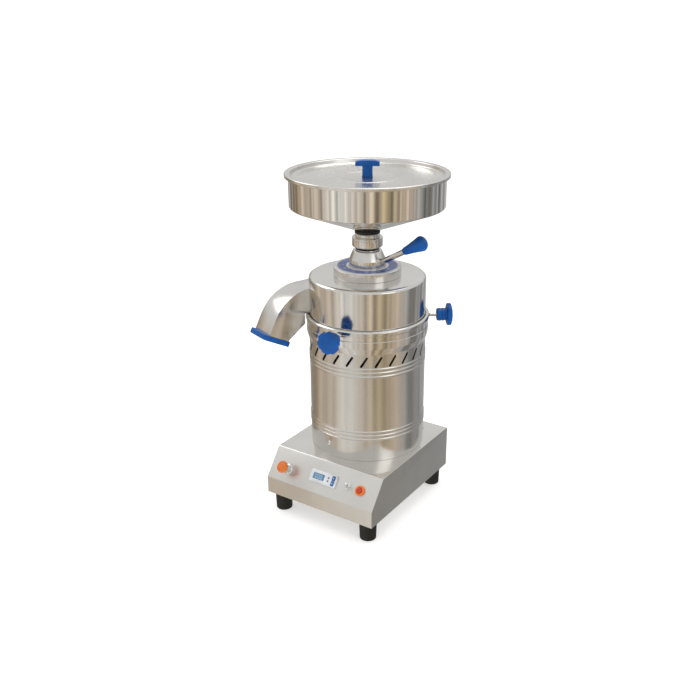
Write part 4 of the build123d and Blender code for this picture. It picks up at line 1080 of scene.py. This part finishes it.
class MILL_OT_grind_scale(bpy.types.Operator):
    """Builds the boss ring and the graduated scale on it"""

    bl_idname = "mill.grind_scale"
    bl_label = "Boss and scale"

    def execute(self, context):
        low, high = BOSS_LOW.z, BOSS_HIGH.z
        outer = BOSS_HIGH.x
        boss = turned(
            "boss_turning",
            [
                (44.05 * MM, low),
                (outer - 0.3 * MM, low, 0.4 * MM),
                (outer, low + 0.8 * MM, 0.4 * MM),
                (outer, high, 1.0 * MM),
                (44.05 * MM, high, 0.4 * MM),
            ],
        )
        hand_over(boss, "head", FINISHES["machined_steel"], ["boss_ring"])
        edge = outer - 1.2 * MM
        top = SCALE_HIGH.z
        plate = turned(
            "scale_plate",
            [(38.6 * MM, high), (edge, high), (edge, top - 0.25 * MM, 0.5 * MM), (38.6 * MM, top - 0.25 * MM)],
        )
        hand_over(plate, "head", FINISHES["scale_enamel"], ["grind_scale"])
        band_top = top - 0.1 * MM
        band = turned(
            "scale_band",
            [
                (45 * MM, top - 0.3 * MM),
                (63.5 * MM, top - 0.3 * MM),
                (63.5 * MM, band_top, 0.1 * MM),
                (45 * MM, band_top, 0.1 * MM),
            ],
        )
        hand_over(band, "head", FINISHES["scale_blue"])
        marks = []
        for k in range(72):
            long_mark = k % 6 == 0
            length = (5.0 if long_mark else 2.8) * MM
            mark = block(
                "mark", (length, (1.1 if long_mark else 0.6) * MM, 0.2 * MM), (0, 0, 0), 0.08 * MM, 1,
            )
            turn = Matrix.Rotation(math.radians(5 * k), 4, "Z")
            place(mark, turn @ Matrix.Translation((63.0 * MM - length / 2, 0, band_top)))
            marks.append(mark)
        for k in range(12):
            fresh()
            bpy.ops.object.text_add(location=(0, 0, 0))
            digit = bpy.context.object
            digit.data.body = str(k)
            digit.data.size = 8.5 * MM
            digit.data.align_x = "CENTER"
            digit.data.align_y = "CENTER"
            digit.data.extrude = 0.12 * MM
            digit.data.resolution_u = 3
            choose(digit)
            bpy.ops.object.convert(target="MESH")
            digit = bpy.context.object
            turn = Matrix.Rotation(math.radians(30 * k), 4, "Z")
            place(
                digit, turn @ Matrix.Translation((52.5 * MM, 0, band_top)) @ Matrix.Rotation(math.pi / 2, 4, "Z"),
            )
            marks.append(digit)
        lettering = joined("scale_marks", marks)
        hand_over(lettering, "head", FINISHES["scale_enamel"])
        return {"FINISHED"}


class MILL_OT_adjuster(bpy.types.Operator):
    """Builds the grind adjuster with its lever and grip"""

    bl_idname = "mill.adjuster"
    bl_label = "Grind adjuster"

    def execute(self, context):
        low, top = ADJUSTER_LOW.z, ADJUSTER_HIGH.z
        shoulder = BOSS_HIGH.z - 0.2 * MM
        skirt = BOSS_HIGH.z + 16.5 * MM
        cone = turned(
            "adjuster_cone",
            [
                (24.05 * MM, low),
                (44 * MM, low, 0.5 * MM),
                (44 * MM, shoulder),
                (38 * MM, shoulder),
                (38 * MM, skirt, 1.5 * MM),
                (30.2 * MM, top - 1.4 * MM, 1.6 * MM),
                (28.4 * MM, top, 0.5 * MM),
                (24.05 * MM, top),
            ],
        )
        hand_over(cone, "adjuster", FINISHES["machined_steel"], ["grind_adjuster"])
        where = Matrix.Translation((31.5 * MM, 0, BOSS_HIGH.z + 11 * MM)) @ Matrix.Rotation(
            math.radians(90 - 29.5), 4, "Y"
        )
        length = 66 * MM
        rod = turned(
            "lever_rod",
            [
                (0, 6 * MM),
                (6 * MM, 6 * MM),
                (6 * MM, length - 1 * MM, 0.3 * MM),
                (5.4 * MM, length + 0.2 * MM, 0.3 * MM),
                (5.4 * MM, length + 11 * MM, 0.5 * MM),
                (0, length + 11.5 * MM),
            ],
            SMALL_STEPS,
            closed=False,
        )
        place(rod, where)
        hand_over(rod, "adjuster", FINISHES["machined_steel"], ["adjuster_lever"])
        reach = 56 * MM
        swell = reach * 0.8
        outline = [(6.05 * MM, 12 * MM), (6.05 * MM, 0), (7.4 * MM, 0, 0.6 * MM)]
        for k in range(1, 13):
            t = k / 12
            outline.append(((8 + 8 * t**1.25) * MM - 0.02 * MM, swell * t))
        for k in range(1, 14):
            angle = math.pi / 2 * k / 14
            outline.append((16 * MM * math.cos(angle), swell + (reach - swell) * math.sin(angle)))
        outline.append((0, reach))
        grip = turned("lever_grip_moulding", outline, 96, closed=False)
        place(grip, where @ Matrix.Translation((0, 0, length)))
        hand_over(grip, "adjuster", FINISHES["blue_plastic"], ["lever_grip"], smooth=45)
        seal = turned(
            "feed_seal_ring",
            [
                (21.3 * MM, SEAL_LOW.z),
                (24.6 * MM, SEAL_LOW.z, 0.4 * MM),
                (25.0 * MM, SEAL_LOW.z + 1.4 * MM, 0.6 * MM),
                (24.2 * MM, SEAL_LOW.z + 2.9 * MM, 0.6 * MM),
                (25.0 * MM, SEAL_LOW.z + 4.4 * MM, 0.6 * MM),
                (24.6 * MM, SEAL_HIGH.z, 0.4 * MM),
                (21.3 * MM, SEAL_HIGH.z),
            ],
            128,
        )
        hand_over(seal, "carrier", FINISHES["black_rubber"], ["feed_seal"])
        return {"FINISHED"}


class MILL_OT_hopper(bpy.types.Operator):
    """Builds the hopper bowl, its neck and the ring on the neck"""

    bl_idname = "mill.hopper"
    bl_label = "Hopper"

    def execute(self, context):
        low, high = BOWL_LOW.z, BOWL_HIGH.z - 2.2 * MM
        wall = 160 * MM
        sheet = 1.5 * MM
        cone_top = low + 50.6 * MM
        bowl = turned(
            "hopper_spinning",
            [
                (22.2 * MM, low),
                (26.0 * MM, low, 0.5 * MM),
                (wall, cone_top, 3.0 * MM),
                (wall, high - 2.4 * MM, 0.8 * MM),
                (wall + 3.9 * MM, high - 2.1 * MM, 1.6 * MM),
                (wall + 3.9 * MM, high + 2.1 * MM, 1.6 * MM),
                (wall - sheet, high + 2.1 * MM, 1.4 * MM),
                (wall - sheet, cone_top + 1.05 * MM, 2.0 * MM),
            ],
            288,
        )
        hand_over(bowl, "hopper", FINISHES["hopper_steel"], ["hopper_bowl"], smooth=25)
        neck = turned(
            "neck_turning",
            [
                (19.3 * MM, NECK_LOW.z),
                (21.1 * MM, NECK_LOW.z, 0.6 * MM),
                (21.1 * MM, SEAL_HIGH.z + 0.05 * MM),
                (25.9 * MM, SEAL_HIGH.z + 0.05 * MM),
                (25.9 * MM, NECK_HIGH.z - 8.6 * MM, 1.0 * MM),
                (24.9 * MM, NECK_HIGH.z - 7.4 * MM, 0.8 * MM),
                (24.9 * MM, NECK_HIGH.z),
                (19.3 * MM, NECK_HIGH.z),
            ],
            160,
        )
        hand_over(neck, "hopper", FINISHES["machined_steel"], ["hopper_neck"])
        ring = turned(
            "neck_ring",
            [
                (26.05 * MM, NECK_RING_LOW.z),
                (30.6 * MM, NECK_RING_LOW.z, 0.4 * MM),
                (32 * MM, NECK_RING_LOW.z + 1.5 * MM, 0.6 * MM),
                (32 * MM, NECK_RING_HIGH.z - 7.6 * MM, 0.4 * MM),
                (31.2 * MM, NECK_RING_HIGH.z - 7.0 * MM, 0.3 * MM),
                (32 * MM, NECK_RING_HIGH.z - 6.4 * MM, 0.4 * MM),
                (32 * MM, NECK_RING_HIGH.z - 3.5 * MM, 1.0 * MM),
                (29.0 * MM, NECK_RING_HIGH.z, 1.2 * MM),
                (26.05 * MM, NECK_RING_HIGH.z),
            ],
            160,
        )
        hand_over(ring, "hopper", FINISHES["machined_steel"], ["neck_collar"])
        gasket_low = NECK_HIGH.z - 6.8 * MM
        gasket = turned(
            "neck_gasket",
            [
                (24.92 * MM, gasket_low),
                (26.6 * MM, gasket_low, 0.8 * MM),
                (26.6 * MM, NECK_HIGH.z - 0.4 * MM, 0.8 * MM),
                (24.92 * MM, NECK_HIGH.z - 0.4 * MM),
            ],
            128,
        )
        hand_over(gasket, "hopper", FINISHES["black_rubber"])
        return {"FINISHED"}


class MILL_OT_lid(bpy.types.Operator):
    """Builds the pressed lid and its T handle"""

    bl_idname = "mill.lid"
    bl_label = "Hopper lid"

    def execute(self, context):
        top = LID_HIGH.z
        outer = LID_HIGH.x
        sheet = 1.5 * MM
        pan = top - 11 * MM
        lip = top - sheet
        bead = 58 * MM
        upper = [
            (3.2 * MM, pan),
            (12 * MM, pan, 2 * MM),
            (13 * MM, pan + 0.5 * MM, 1 * MM),
            (bead - 5 * MM, pan, 3 * MM),
            (bead - 2 * MM, pan + 1.3 * MM, 2 * MM),
            (bead + 2 * MM, pan + 1.3 * MM, 2 * MM),
            (bead + 5 * MM, pan, 3 * MM),
            (146 * MM, pan, 6 * MM),
            (150 * MM, pan + 1.2 * MM, 3 * MM),
            (153.6 * MM, pan + 1.0 * MM, 3.5 * MM),
            (156.0 * MM, top, 2.4 * MM),
            (outer, top, 2.2 * MM),
            (outer, LID_HIGH.z - 6.8 * MM, 0.6 * MM),
        ]
        under = [
            (outer - sheet, LID_HIGH.z - 6.8 * MM),
            (outer - sheet, lip, 0.8 * MM),
            (157.4 * MM, lip, 1.0 * MM),
            (155.0 * MM, pan - sheet, 3.0 * MM),
            (3.2 * MM, pan - sheet),
        ]
        lid = turned("lid_pressing", upper + under, 288)
        hand_over(lid, "lid", FINISHES["lid_steel"], ["hopper_lid"], smooth=25)

        tall = HANDLE_HIGH.z - pan
        bar = block("lid_handle_moulding", (49 * MM, 14.6 * MM, 11 * MM), (0, 0, tall - 5.5 * MM))
        edit(bar)
        bpy.ops.mesh.select_all(action="SELECT")
        bpy.ops.mesh.subdivide(number_cuts=6)
        pick("faces", lambda spot, normal: normal.z < -0.9 and abs(spot.x) < 11 * MM)
        for fall, shrink in ((3.0 * MM, 0.98), (4.5 * MM, 1.0), (10.5 * MM, 1.0), (4.6 * MM, 1.06)):
            bpy.ops.mesh.extrude_region_move(TRANSFORM_OT_translate={"value": (0, 0, -fall)})
            bpy.ops.transform.resize(value=(shrink, 1.0, 1.0), center_override=(0, 0, 0))
        pick("verts", lambda spot, normal: spot.z < tall - 16 * MM)
        bpy.ops.transform.resize(value=(1.0, 1.05, 1.0), center_override=(0, 0, 0))
        for out, fall in ((12, 0.8), (19, 2.2)):
            pick("verts", lambda spot, normal: abs(spot.x) > out * MM and spot.z > tall - 2 * MM)
            bpy.ops.transform.translate(value=(0, 0, -fall * MM))
        bpy.ops.object.mode_set(mode="OBJECT")
        soften(bar, 1.6 * MM, 2, 60)
        smooth = bar.modifiers.new("Moulding", "SUBSURF")
        smooth.levels = 2
        smooth.render_levels = 2
        choose(bar)
        bpy.ops.object.modifier_apply(modifier=smooth.name)
        place(bar, Matrix.Translation((0, 0, pan)) @ Matrix.Rotation(math.radians(33), 4, "Z"))
        hand_over(bar, "lid", FINISHES["blue_plastic"], ["lid_handle"], smooth=60)
        return {"FINISHED"}


class MILL_OT_controls(bpy.types.Operator):
    """Builds the push buttons, the toggle and the display on the panel"""

    bl_idname = "mill.controls"
    bl_label = "Panel controls"

    def execute(self, context):
        stop = on_panel(-91 * MM, 29 * MM)
        collar = turned(
            "stop_collar_turning",
            [
                (5.2 * MM, -15 * MM),
                (7.8 * MM, -15 * MM),
                (7.8 * MM, 0.02 * MM),
                (11.5 * MM, 0.02 * MM, 0.2 * MM),
                (11.5 * MM, 2.2 * MM, 0.7 * MM),
                (9.2 * MM, 3.0 * MM, 0.5 * MM),
                (8.6 * MM, 4.0 * MM, 0.6 * MM),
                (8.6 * MM, 16.9 * MM, 0.8 * MM),
                (5.2 * MM, 16.9 * MM),
            ],
            SMALL_STEPS,
        )
        place(collar, stop)
        hand_over(collar, "base", FINISHES["chrome"], ["stop_button_collar"])
        head = turned(
            "stop_head_moulding",
            [
                (0, -1.4 * MM),
                (5.0 * MM, -1.4 * MM),
                (5.0 * MM, 21.9 * MM),
                (11.8 * MM, 21.9 * MM, 0.6 * MM),
                (13.0 * MM, 23.2 * MM, 0.9 * MM),
                (13.0 * MM, 26.2 * MM, 1.2 * MM),
                (11.4 * MM, 28.0 * MM, 1.0 * MM),
                (9.8 * MM, 28.0 * MM, 0.4 * MM),
                (9.4 * MM, 27.4 * MM, 0.3 * MM),
                (6.0 * MM, 28.3 * MM, 6 * MM),
                (0, 28.7 * MM),
            ],
            80,
            closed=False,
        )
        place(head, stop)
        hand_over(head, "stop_button", FINISHES["orange_plastic"], ["stop_button_head"])

        start = on_panel(94 * MM, 35 * MM)
        bezel = turned(
            "start_bezel_turning",
            [
                (6.2 * MM, -15 * MM),
                (7.8 * MM, -15 * MM),
                (7.8 * MM, 0.02 * MM),
                (11.0 * MM, 0.02 * MM, 0.2 * MM),
                (11.0 * MM, 3.2 * MM, 1.2 * MM),
                (9.2 * MM, 4.9 * MM, 0.8 * MM),
                (7.2 * MM, 4.9 * MM, 0.5 * MM),
                (6.2 * MM, 4.0 * MM, 0.3 * MM),
            ],
            SMALL_STEPS,
        )
        place(bezel, start)
        hand_over(bezel, "base", FINISHES["orange_plastic"], ["start_button_bezel"])
        cap = turned(
            "start_cap_moulding",
            [
                (0, -1 * MM),
                (6.0 * MM, -1 * MM),
                (6.0 * MM, 6.2 * MM, 0.8 * MM),
                (3.2 * MM, 6.9 * MM, 2 * MM),
                (2.2 * MM, 6.2 * MM, 1 * MM),
                (0, 5.9 * MM),
            ],
            SMALL_STEPS,
            closed=False,
        )
        place(cap, start)
        hand_over(cap, "start_button", FINISHES["red_plastic"], ["start_button_cap"])

        toggle = on_panel(62 * MM, 36 * MM)
        nut = prism("nut", 6, 9.1 * MM, 0.02 * MM, 2.6 * MM, math.radians(8))
        thread = [(4.2 * MM, -9.8 * MM), (5.6 * MM, -9.8 * MM), (5.6 * MM, 2.6 * MM)]
        for k in range(4):
            low = (2.7 + 0.75 * k) * MM
            thread += [(5.65 * MM, low), (5.25 * MM, low + 0.35 * MM), (5.65 * MM, low + 0.7 * MM)]
        thread += [(5.3 * MM, 5.9 * MM), (4.6 * MM, 6.0 * MM), (3.4 * MM, 4.2 * MM), (3.8 * MM, 2.0 * MM)]
        bush = turned("bush", thread, SMALL_STEPS)
        bore = prism("bore", 40, 5.55 * MM, -2 * MM, 4 * MM)
        cut(nut, bore)
        bushing = joined("toggle_bushing_turning", [nut, bush])
        place(bushing, toggle)
        hand_over(bushing, "base", FINISHES["chrome"], ["toggle_bushing"])
        bat = turned(
            "toggle_bat",
            [
                (0, -3.2 * MM),
                (3.2 * MM, -1.4 * MM, 1.6 * MM),
                (3.2 * MM, 1.4 * MM, 1.4 * MM),
                (1.6 * MM, 3.0 * MM, 1.0 * MM),
                (1.9 * MM, 7.0 * MM, 2 * MM),
                (2.95 * MM, 13.0 * MM, 2 * MM),
                (2.9 * MM, 16.4 * MM, 1.6 * MM),
                (0, 16.9 * MM),
            ],
            48,
            closed=False,
        )
        place(bat, toggle @ Matrix.Translation((0, 0, 3 * MM)) @ Matrix.Rotation(math.radians(14), 4, "Y"))
        hand_over(bat, "toggle", FINISHES["chrome"], ["toggle_lever"], smooth=50)

        screen = on_panel(2 * MM, 35.5 * MM)
        case = block(
            "display_case",
            (66 * MM, 27 * MM, 4 * MM),
            (0, 0, 2.02 * MM),
            2 * MM,
            4,
            lambda spot, along: abs(along.z) > 0.9,
        )
        window_cut = block("window_cut", (28.2 * MM, 13.2 * MM, 2.4 * MM), (-12 * MM, 0, 4 * MM))
        key_cuts = [
            block("key_cut", (7.4 * MM, 9.9 * MM, 9.8 * MM), (25 * MM, side * 5.5 * MM, 4.0 * MM)) for side in (
                -1, 1,
            )
        ]
        cut(case, window_cut, *key_cuts)
        soften(case, 0.45 * MM, 2, 50)
        rear = block("rear", (59 * MM, 21 * MM, 17 * MM), (0, 0, -9.5 * MM), 0.8 * MM, 2)
        case = joined("display_case", [case, rear])
        place(case, screen)
        hand_over(case, "base", FINISHES["white_plastic"], ["display_housing"], smooth=40)
        window = block("display_pane", (27.9 * MM, 12.9 * MM, 1.0 * MM), (-12 * MM, 0, 3.4 * MM), 0.2 * MM, 2)
        place(window, screen)
        hand_over(window, "base", FINISHES["display_blue"], ["display_window"])
        segments = []
        bars = [(0, side * 4.0, 3.4, 0.7) for side in (-1, 1)]
        bars += [(x, y, 0.7, 3.4) for x in (-1.9, 1.9) for y in (-2.0, 2.0)]
        for digit in range(3):
            for x, y, wide, tall in bars:
                bar = block("bar", (wide * MM, tall * MM, 0.12 * MM), (0, 0, 0), 0.04 * MM, 1)
                place(bar, Matrix.Translation(((-18.5 + 6.4 * digit + x) * MM, y * MM, 3.93 * MM)))
                segments.append(bar)
        digits = joined("display_digits", segments)
        place(digits, screen)
        hand_over(digits, "base", FINISHES["display_marks"])
        lamps = [
            block(
                "lamp", (4.2 * MM, 4.2 * MM, 0.5 * MM), (12.5 * MM, side * 3.4 * MM, 4.1 * MM), 0.15 * MM, 2,
            )
            for side in (-1, 1)
        ]
        lamp = joined("display_lamps", lamps)
        place(lamp, screen)
        hand_over(lamp, "base", FINISHES["grey_plastic"])
        for side, node, body in ((1, "display_key_up", "key_up"), (-1, "display_key_down", "key_down")):
            key = block("key", (7 * MM, 9.5 * MM, 5 * MM), (25 * MM, side * 5.5 * MM, 2.7 * MM), 0.6 * MM, 3)
            place(key, screen)
            key.name = f"{node}_cap"
            hand_over(key, body, FINISHES["key_blue"], [node])
            arrow = prism(
                "arrow", 3, 1.9 * MM, 5.12 * MM, 5.32 * MM, math.pi / 6 if side > 0 else -math.pi / 6,
            )
            place(arrow, screen @ Matrix.Translation((25 * MM, side * 5.5 * MM, 0)))
            arrow.name = f"{node}_arrow"
            hand_over(arrow, body, FINISHES["display_marks"])
        return {"FINISHED"}


class MILL_OT_studio(bpy.types.Operator):
    """Sets up the floor, the light and the camera"""

    bl_idname = "mill.studio"
    bl_label = "Studio"

    def execute(self, context):
        scene = context.scene
        studio = scene.mill_studio
        fresh()
        bpy.ops.mesh.primitive_plane_add(size=60, location=(0, 0, 0))
        floor = named("studio_floor")
        pale = Finish("Studio floor")
        grain = pale.speckle(4.0, detail=3)
        pale.feed("Base Color", pale.tint(grain, [(0.3, (0.86, 0.86, 0.86)), (0.7, (0.88, 0.88, 0.88))]))
        pale.shader.inputs["Roughness"].default_value = 0.9
        pale.shader.inputs["Emission Color"].default_value = (1, 1, 1, 1)
        pale.shader.inputs["Emission Strength"].default_value = 0.45
        floor.data.materials.append(pale.material)
        floor.visible_glossy = False

        world = bpy.data.worlds.new("Studio room")
        scene.world = world
        world.use_nodes = True
        nodes, links = world.node_tree.nodes, world.node_tree.links
        background = nodes["Background"]
        where = nodes.new("ShaderNodeTexCoord")
        split = nodes.new("ShaderNodeSeparateXYZ")
        links.new(where.outputs["Generated"], split.inputs["Vector"])
        turn = nodes.new("ShaderNodeMath")
        turn.operation = "ARCTAN2"
        links.new(split.outputs["Y"], turn.inputs[0])
        links.new(split.outputs["X"], turn.inputs[1])
        around = nodes.new("ShaderNodeMapRange")
        around.inputs["From Min"].default_value = -math.pi
        around.inputs["From Max"].default_value = math.pi
        links.new(turn.outputs[0], around.inputs["Value"])
        bands = nodes.new("ShaderNodeValToRGB")
        white = (0.92, 0.91, 0.87)
        wood = (0.30, 0.23, 0.15)
        straw = (0.69, 0.58, 0.46)
        sand = (0.74, 0.64, 0.53)
        ochre = (0.54, 0.44, 0.28)
        dusk = (0.23, 0.22, 0.19)
        room = [
            (0.00, wood), (0.036, straw), (0.133, sand), (0.233, white), (0.325, sand), (0.414, ochre),
            (0.508, straw), (0.572, (0.45, 0.45, 0.45)), (0.62, dusk), (0.667, (0.40, 0.40, 0.40)),
            (0.72, (0.42, 0.42, 0.42)), (0.786, (0.53, 0.53, 0.53)), (0.84, (0.55, 0.55, 0.54)), (1.0, wood),
        ]
        bands.color_ramp.elements[0].color = (*room[0][1], 1)
        bands.color_ramp.elements[1].color = (*room[-1][1], 1)
        for position, colour in room[1:-1]:
            bands.color_ramp.elements.new(position).color = (*colour, 1)
        links.new(around.outputs["Result"], bands.inputs["Fac"])
        posts = nodes.new("ShaderNodeTexNoise")
        posts.noise_dimensions = "1D"
        posts.inputs["Scale"].default_value = 38.0
        posts.inputs["Detail"].default_value = 4
        links.new(around.outputs["Result"], posts.inputs["W"])
        streak = nodes.new("ShaderNodeMapRange")
        streak.inputs["From Min"].default_value = 0.3
        streak.inputs["From Max"].default_value = 0.7
        streak.inputs["To Min"].default_value = 0.38
        streak.inputs["To Max"].default_value = 1.45
        links.new(posts.outputs["Fac"], streak.inputs["Value"])
        striped = nodes.new("ShaderNodeVectorMath")
        striped.operation = "SCALE"
        links.new(bands.outputs["Color"], striped.inputs[0])
        links.new(streak.outputs["Result"], striped.inputs["Scale"])
        rise = nodes.new("ShaderNodeMapRange")
        rise.inputs["From Min"].default_value = 0.02
        rise.inputs["From Max"].default_value = 0.30
        rise.interpolation_type = "SMOOTHSTEP"
        links.new(split.outputs["Z"], rise.inputs["Value"])
        blend = nodes.new("ShaderNodeMix")
        blend.data_type = "RGBA"
        links.new(rise.outputs["Result"], blend.inputs["Factor"])
        links.new(striped.outputs["Vector"], blend.inputs["A"])
        blend.inputs["B"].default_value = (0.80, 0.80, 0.79, 1)
        seen = nodes.new("ShaderNodeLightPath")
        backdrop = nodes.new("ShaderNodeMix")
        backdrop.data_type = "RGBA"
        links.new(seen.outputs["Is Camera Ray"], backdrop.inputs["Factor"])
        links.new(blend.outputs["Result"], backdrop.inputs["A"])
        backdrop.inputs["B"].default_value = (1.1, 1.1, 1.1, 1)
        links.new(backdrop.outputs["Result"], background.inputs["Color"])
        background.inputs["Strength"].default_value = studio.daylight

        for name, power, size, spot in (
            ("Key softbox", studio.softbox, 1.3, (-2.0, -0.4, 2.2)),
            ("Fill softbox", studio.softbox * 0.2, 1.0, (2.0, -0.6, 1.2)),
            ("Top softbox", studio.softbox * 1.15, 1.6, (0.2, 0.6, 2.6)),
        ):
            light = bpy.data.lights.new(name, "AREA")
            light.energy = power
            light.size = size
            lamp = bpy.data.objects.new(name, light)
            scene.collection.objects.link(lamp)
            lamp.location = spot
            aim = Vector((0, 0, 0.35)) - Vector(spot)
            lamp.rotation_euler = aim.to_track_quat("-Z", "Y").to_euler()

        camera_data = bpy.data.cameras.new("Camera")
        camera = bpy.data.objects.new("Camera", camera_data)
        scene.collection.objects.link(camera)
        camera_data.sensor_width = 36
        camera_data.lens = studio.lens
        camera_data.shift_x = studio.shift
        look = Vector(
            (
                -math.sin(studio.azimuth) * math.cos(studio.elevation),
                math.cos(studio.azimuth) * math.cos(studio.elevation),
                -math.sin(studio.elevation),
            )
        )
        camera.location = Vector((0, 0, studio.target_height)) - look * studio.distance
        camera.rotation_euler = look.to_track_quat("-Z", "Y").to_euler()
        scene.camera = camera
        scene.view_settings.view_transform = "Standard"
        return {"FINISHED"}


class MILL_PT_panel(bpy.types.Panel):
    """Lists the mill's pieces"""

    bl_idname = "MILL_PT_panel"
    bl_label = "Stone Mill"
    bl_space_type = "VIEW_3D"
    bl_region_type = "UI"
    bl_category = "Stone Mill"

    def draw(self, context):
        for operator in OPERATORS:
            self.layout.operator(operator.bl_idname)
        for group in (context.scene.mill_sizes, context.scene.mill_colours, context.scene.mill_studio):
            box = self.layout.box()
            for name in group.__annotations__:
                box.prop(group, name)


OPERATORS = (
    MILL_OT_finishes,
    MILL_OT_housing,
    MILL_OT_feet,
    MILL_OT_drum,
    MILL_OT_collar,
    MILL_OT_casing,
    MILL_OT_chute,
    MILL_OT_clamps,
    MILL_OT_grind_scale,
    MILL_OT_adjuster,
    MILL_OT_hopper,
    MILL_OT_lid,
    MILL_OT_controls,
    MILL_OT_studio,
)
GROUPS = (MillSizes, MillColours, StudioSettings)


def register():
    for item in GROUPS + OPERATORS + (MILL_PT_panel,):
        bpy.utils.register_class(item)
    bpy.types.Scene.mill_sizes = bpy.props.PointerProperty(type=MillSizes)
    bpy.types.Scene.mill_colours = bpy.props.PointerProperty(type=MillColours)
    bpy.types.Scene.mill_studio = bpy.props.PointerProperty(type=StudioSettings)


def unregister():
    for name in ("mill_sizes", "mill_colours", "mill_studio"):
        delattr(bpy.types.Scene, name)
    for item in reversed(GROUPS + OPERATORS + (MILL_PT_panel,)):
        bpy.utils.unregister_class(item)


def main():
    register()
    for operator in OPERATORS:
        family, name = operator.bl_idname.split(".")
        getattr(getattr(bpy.ops, family), name)()


if __name__ == "__main__":
    main()
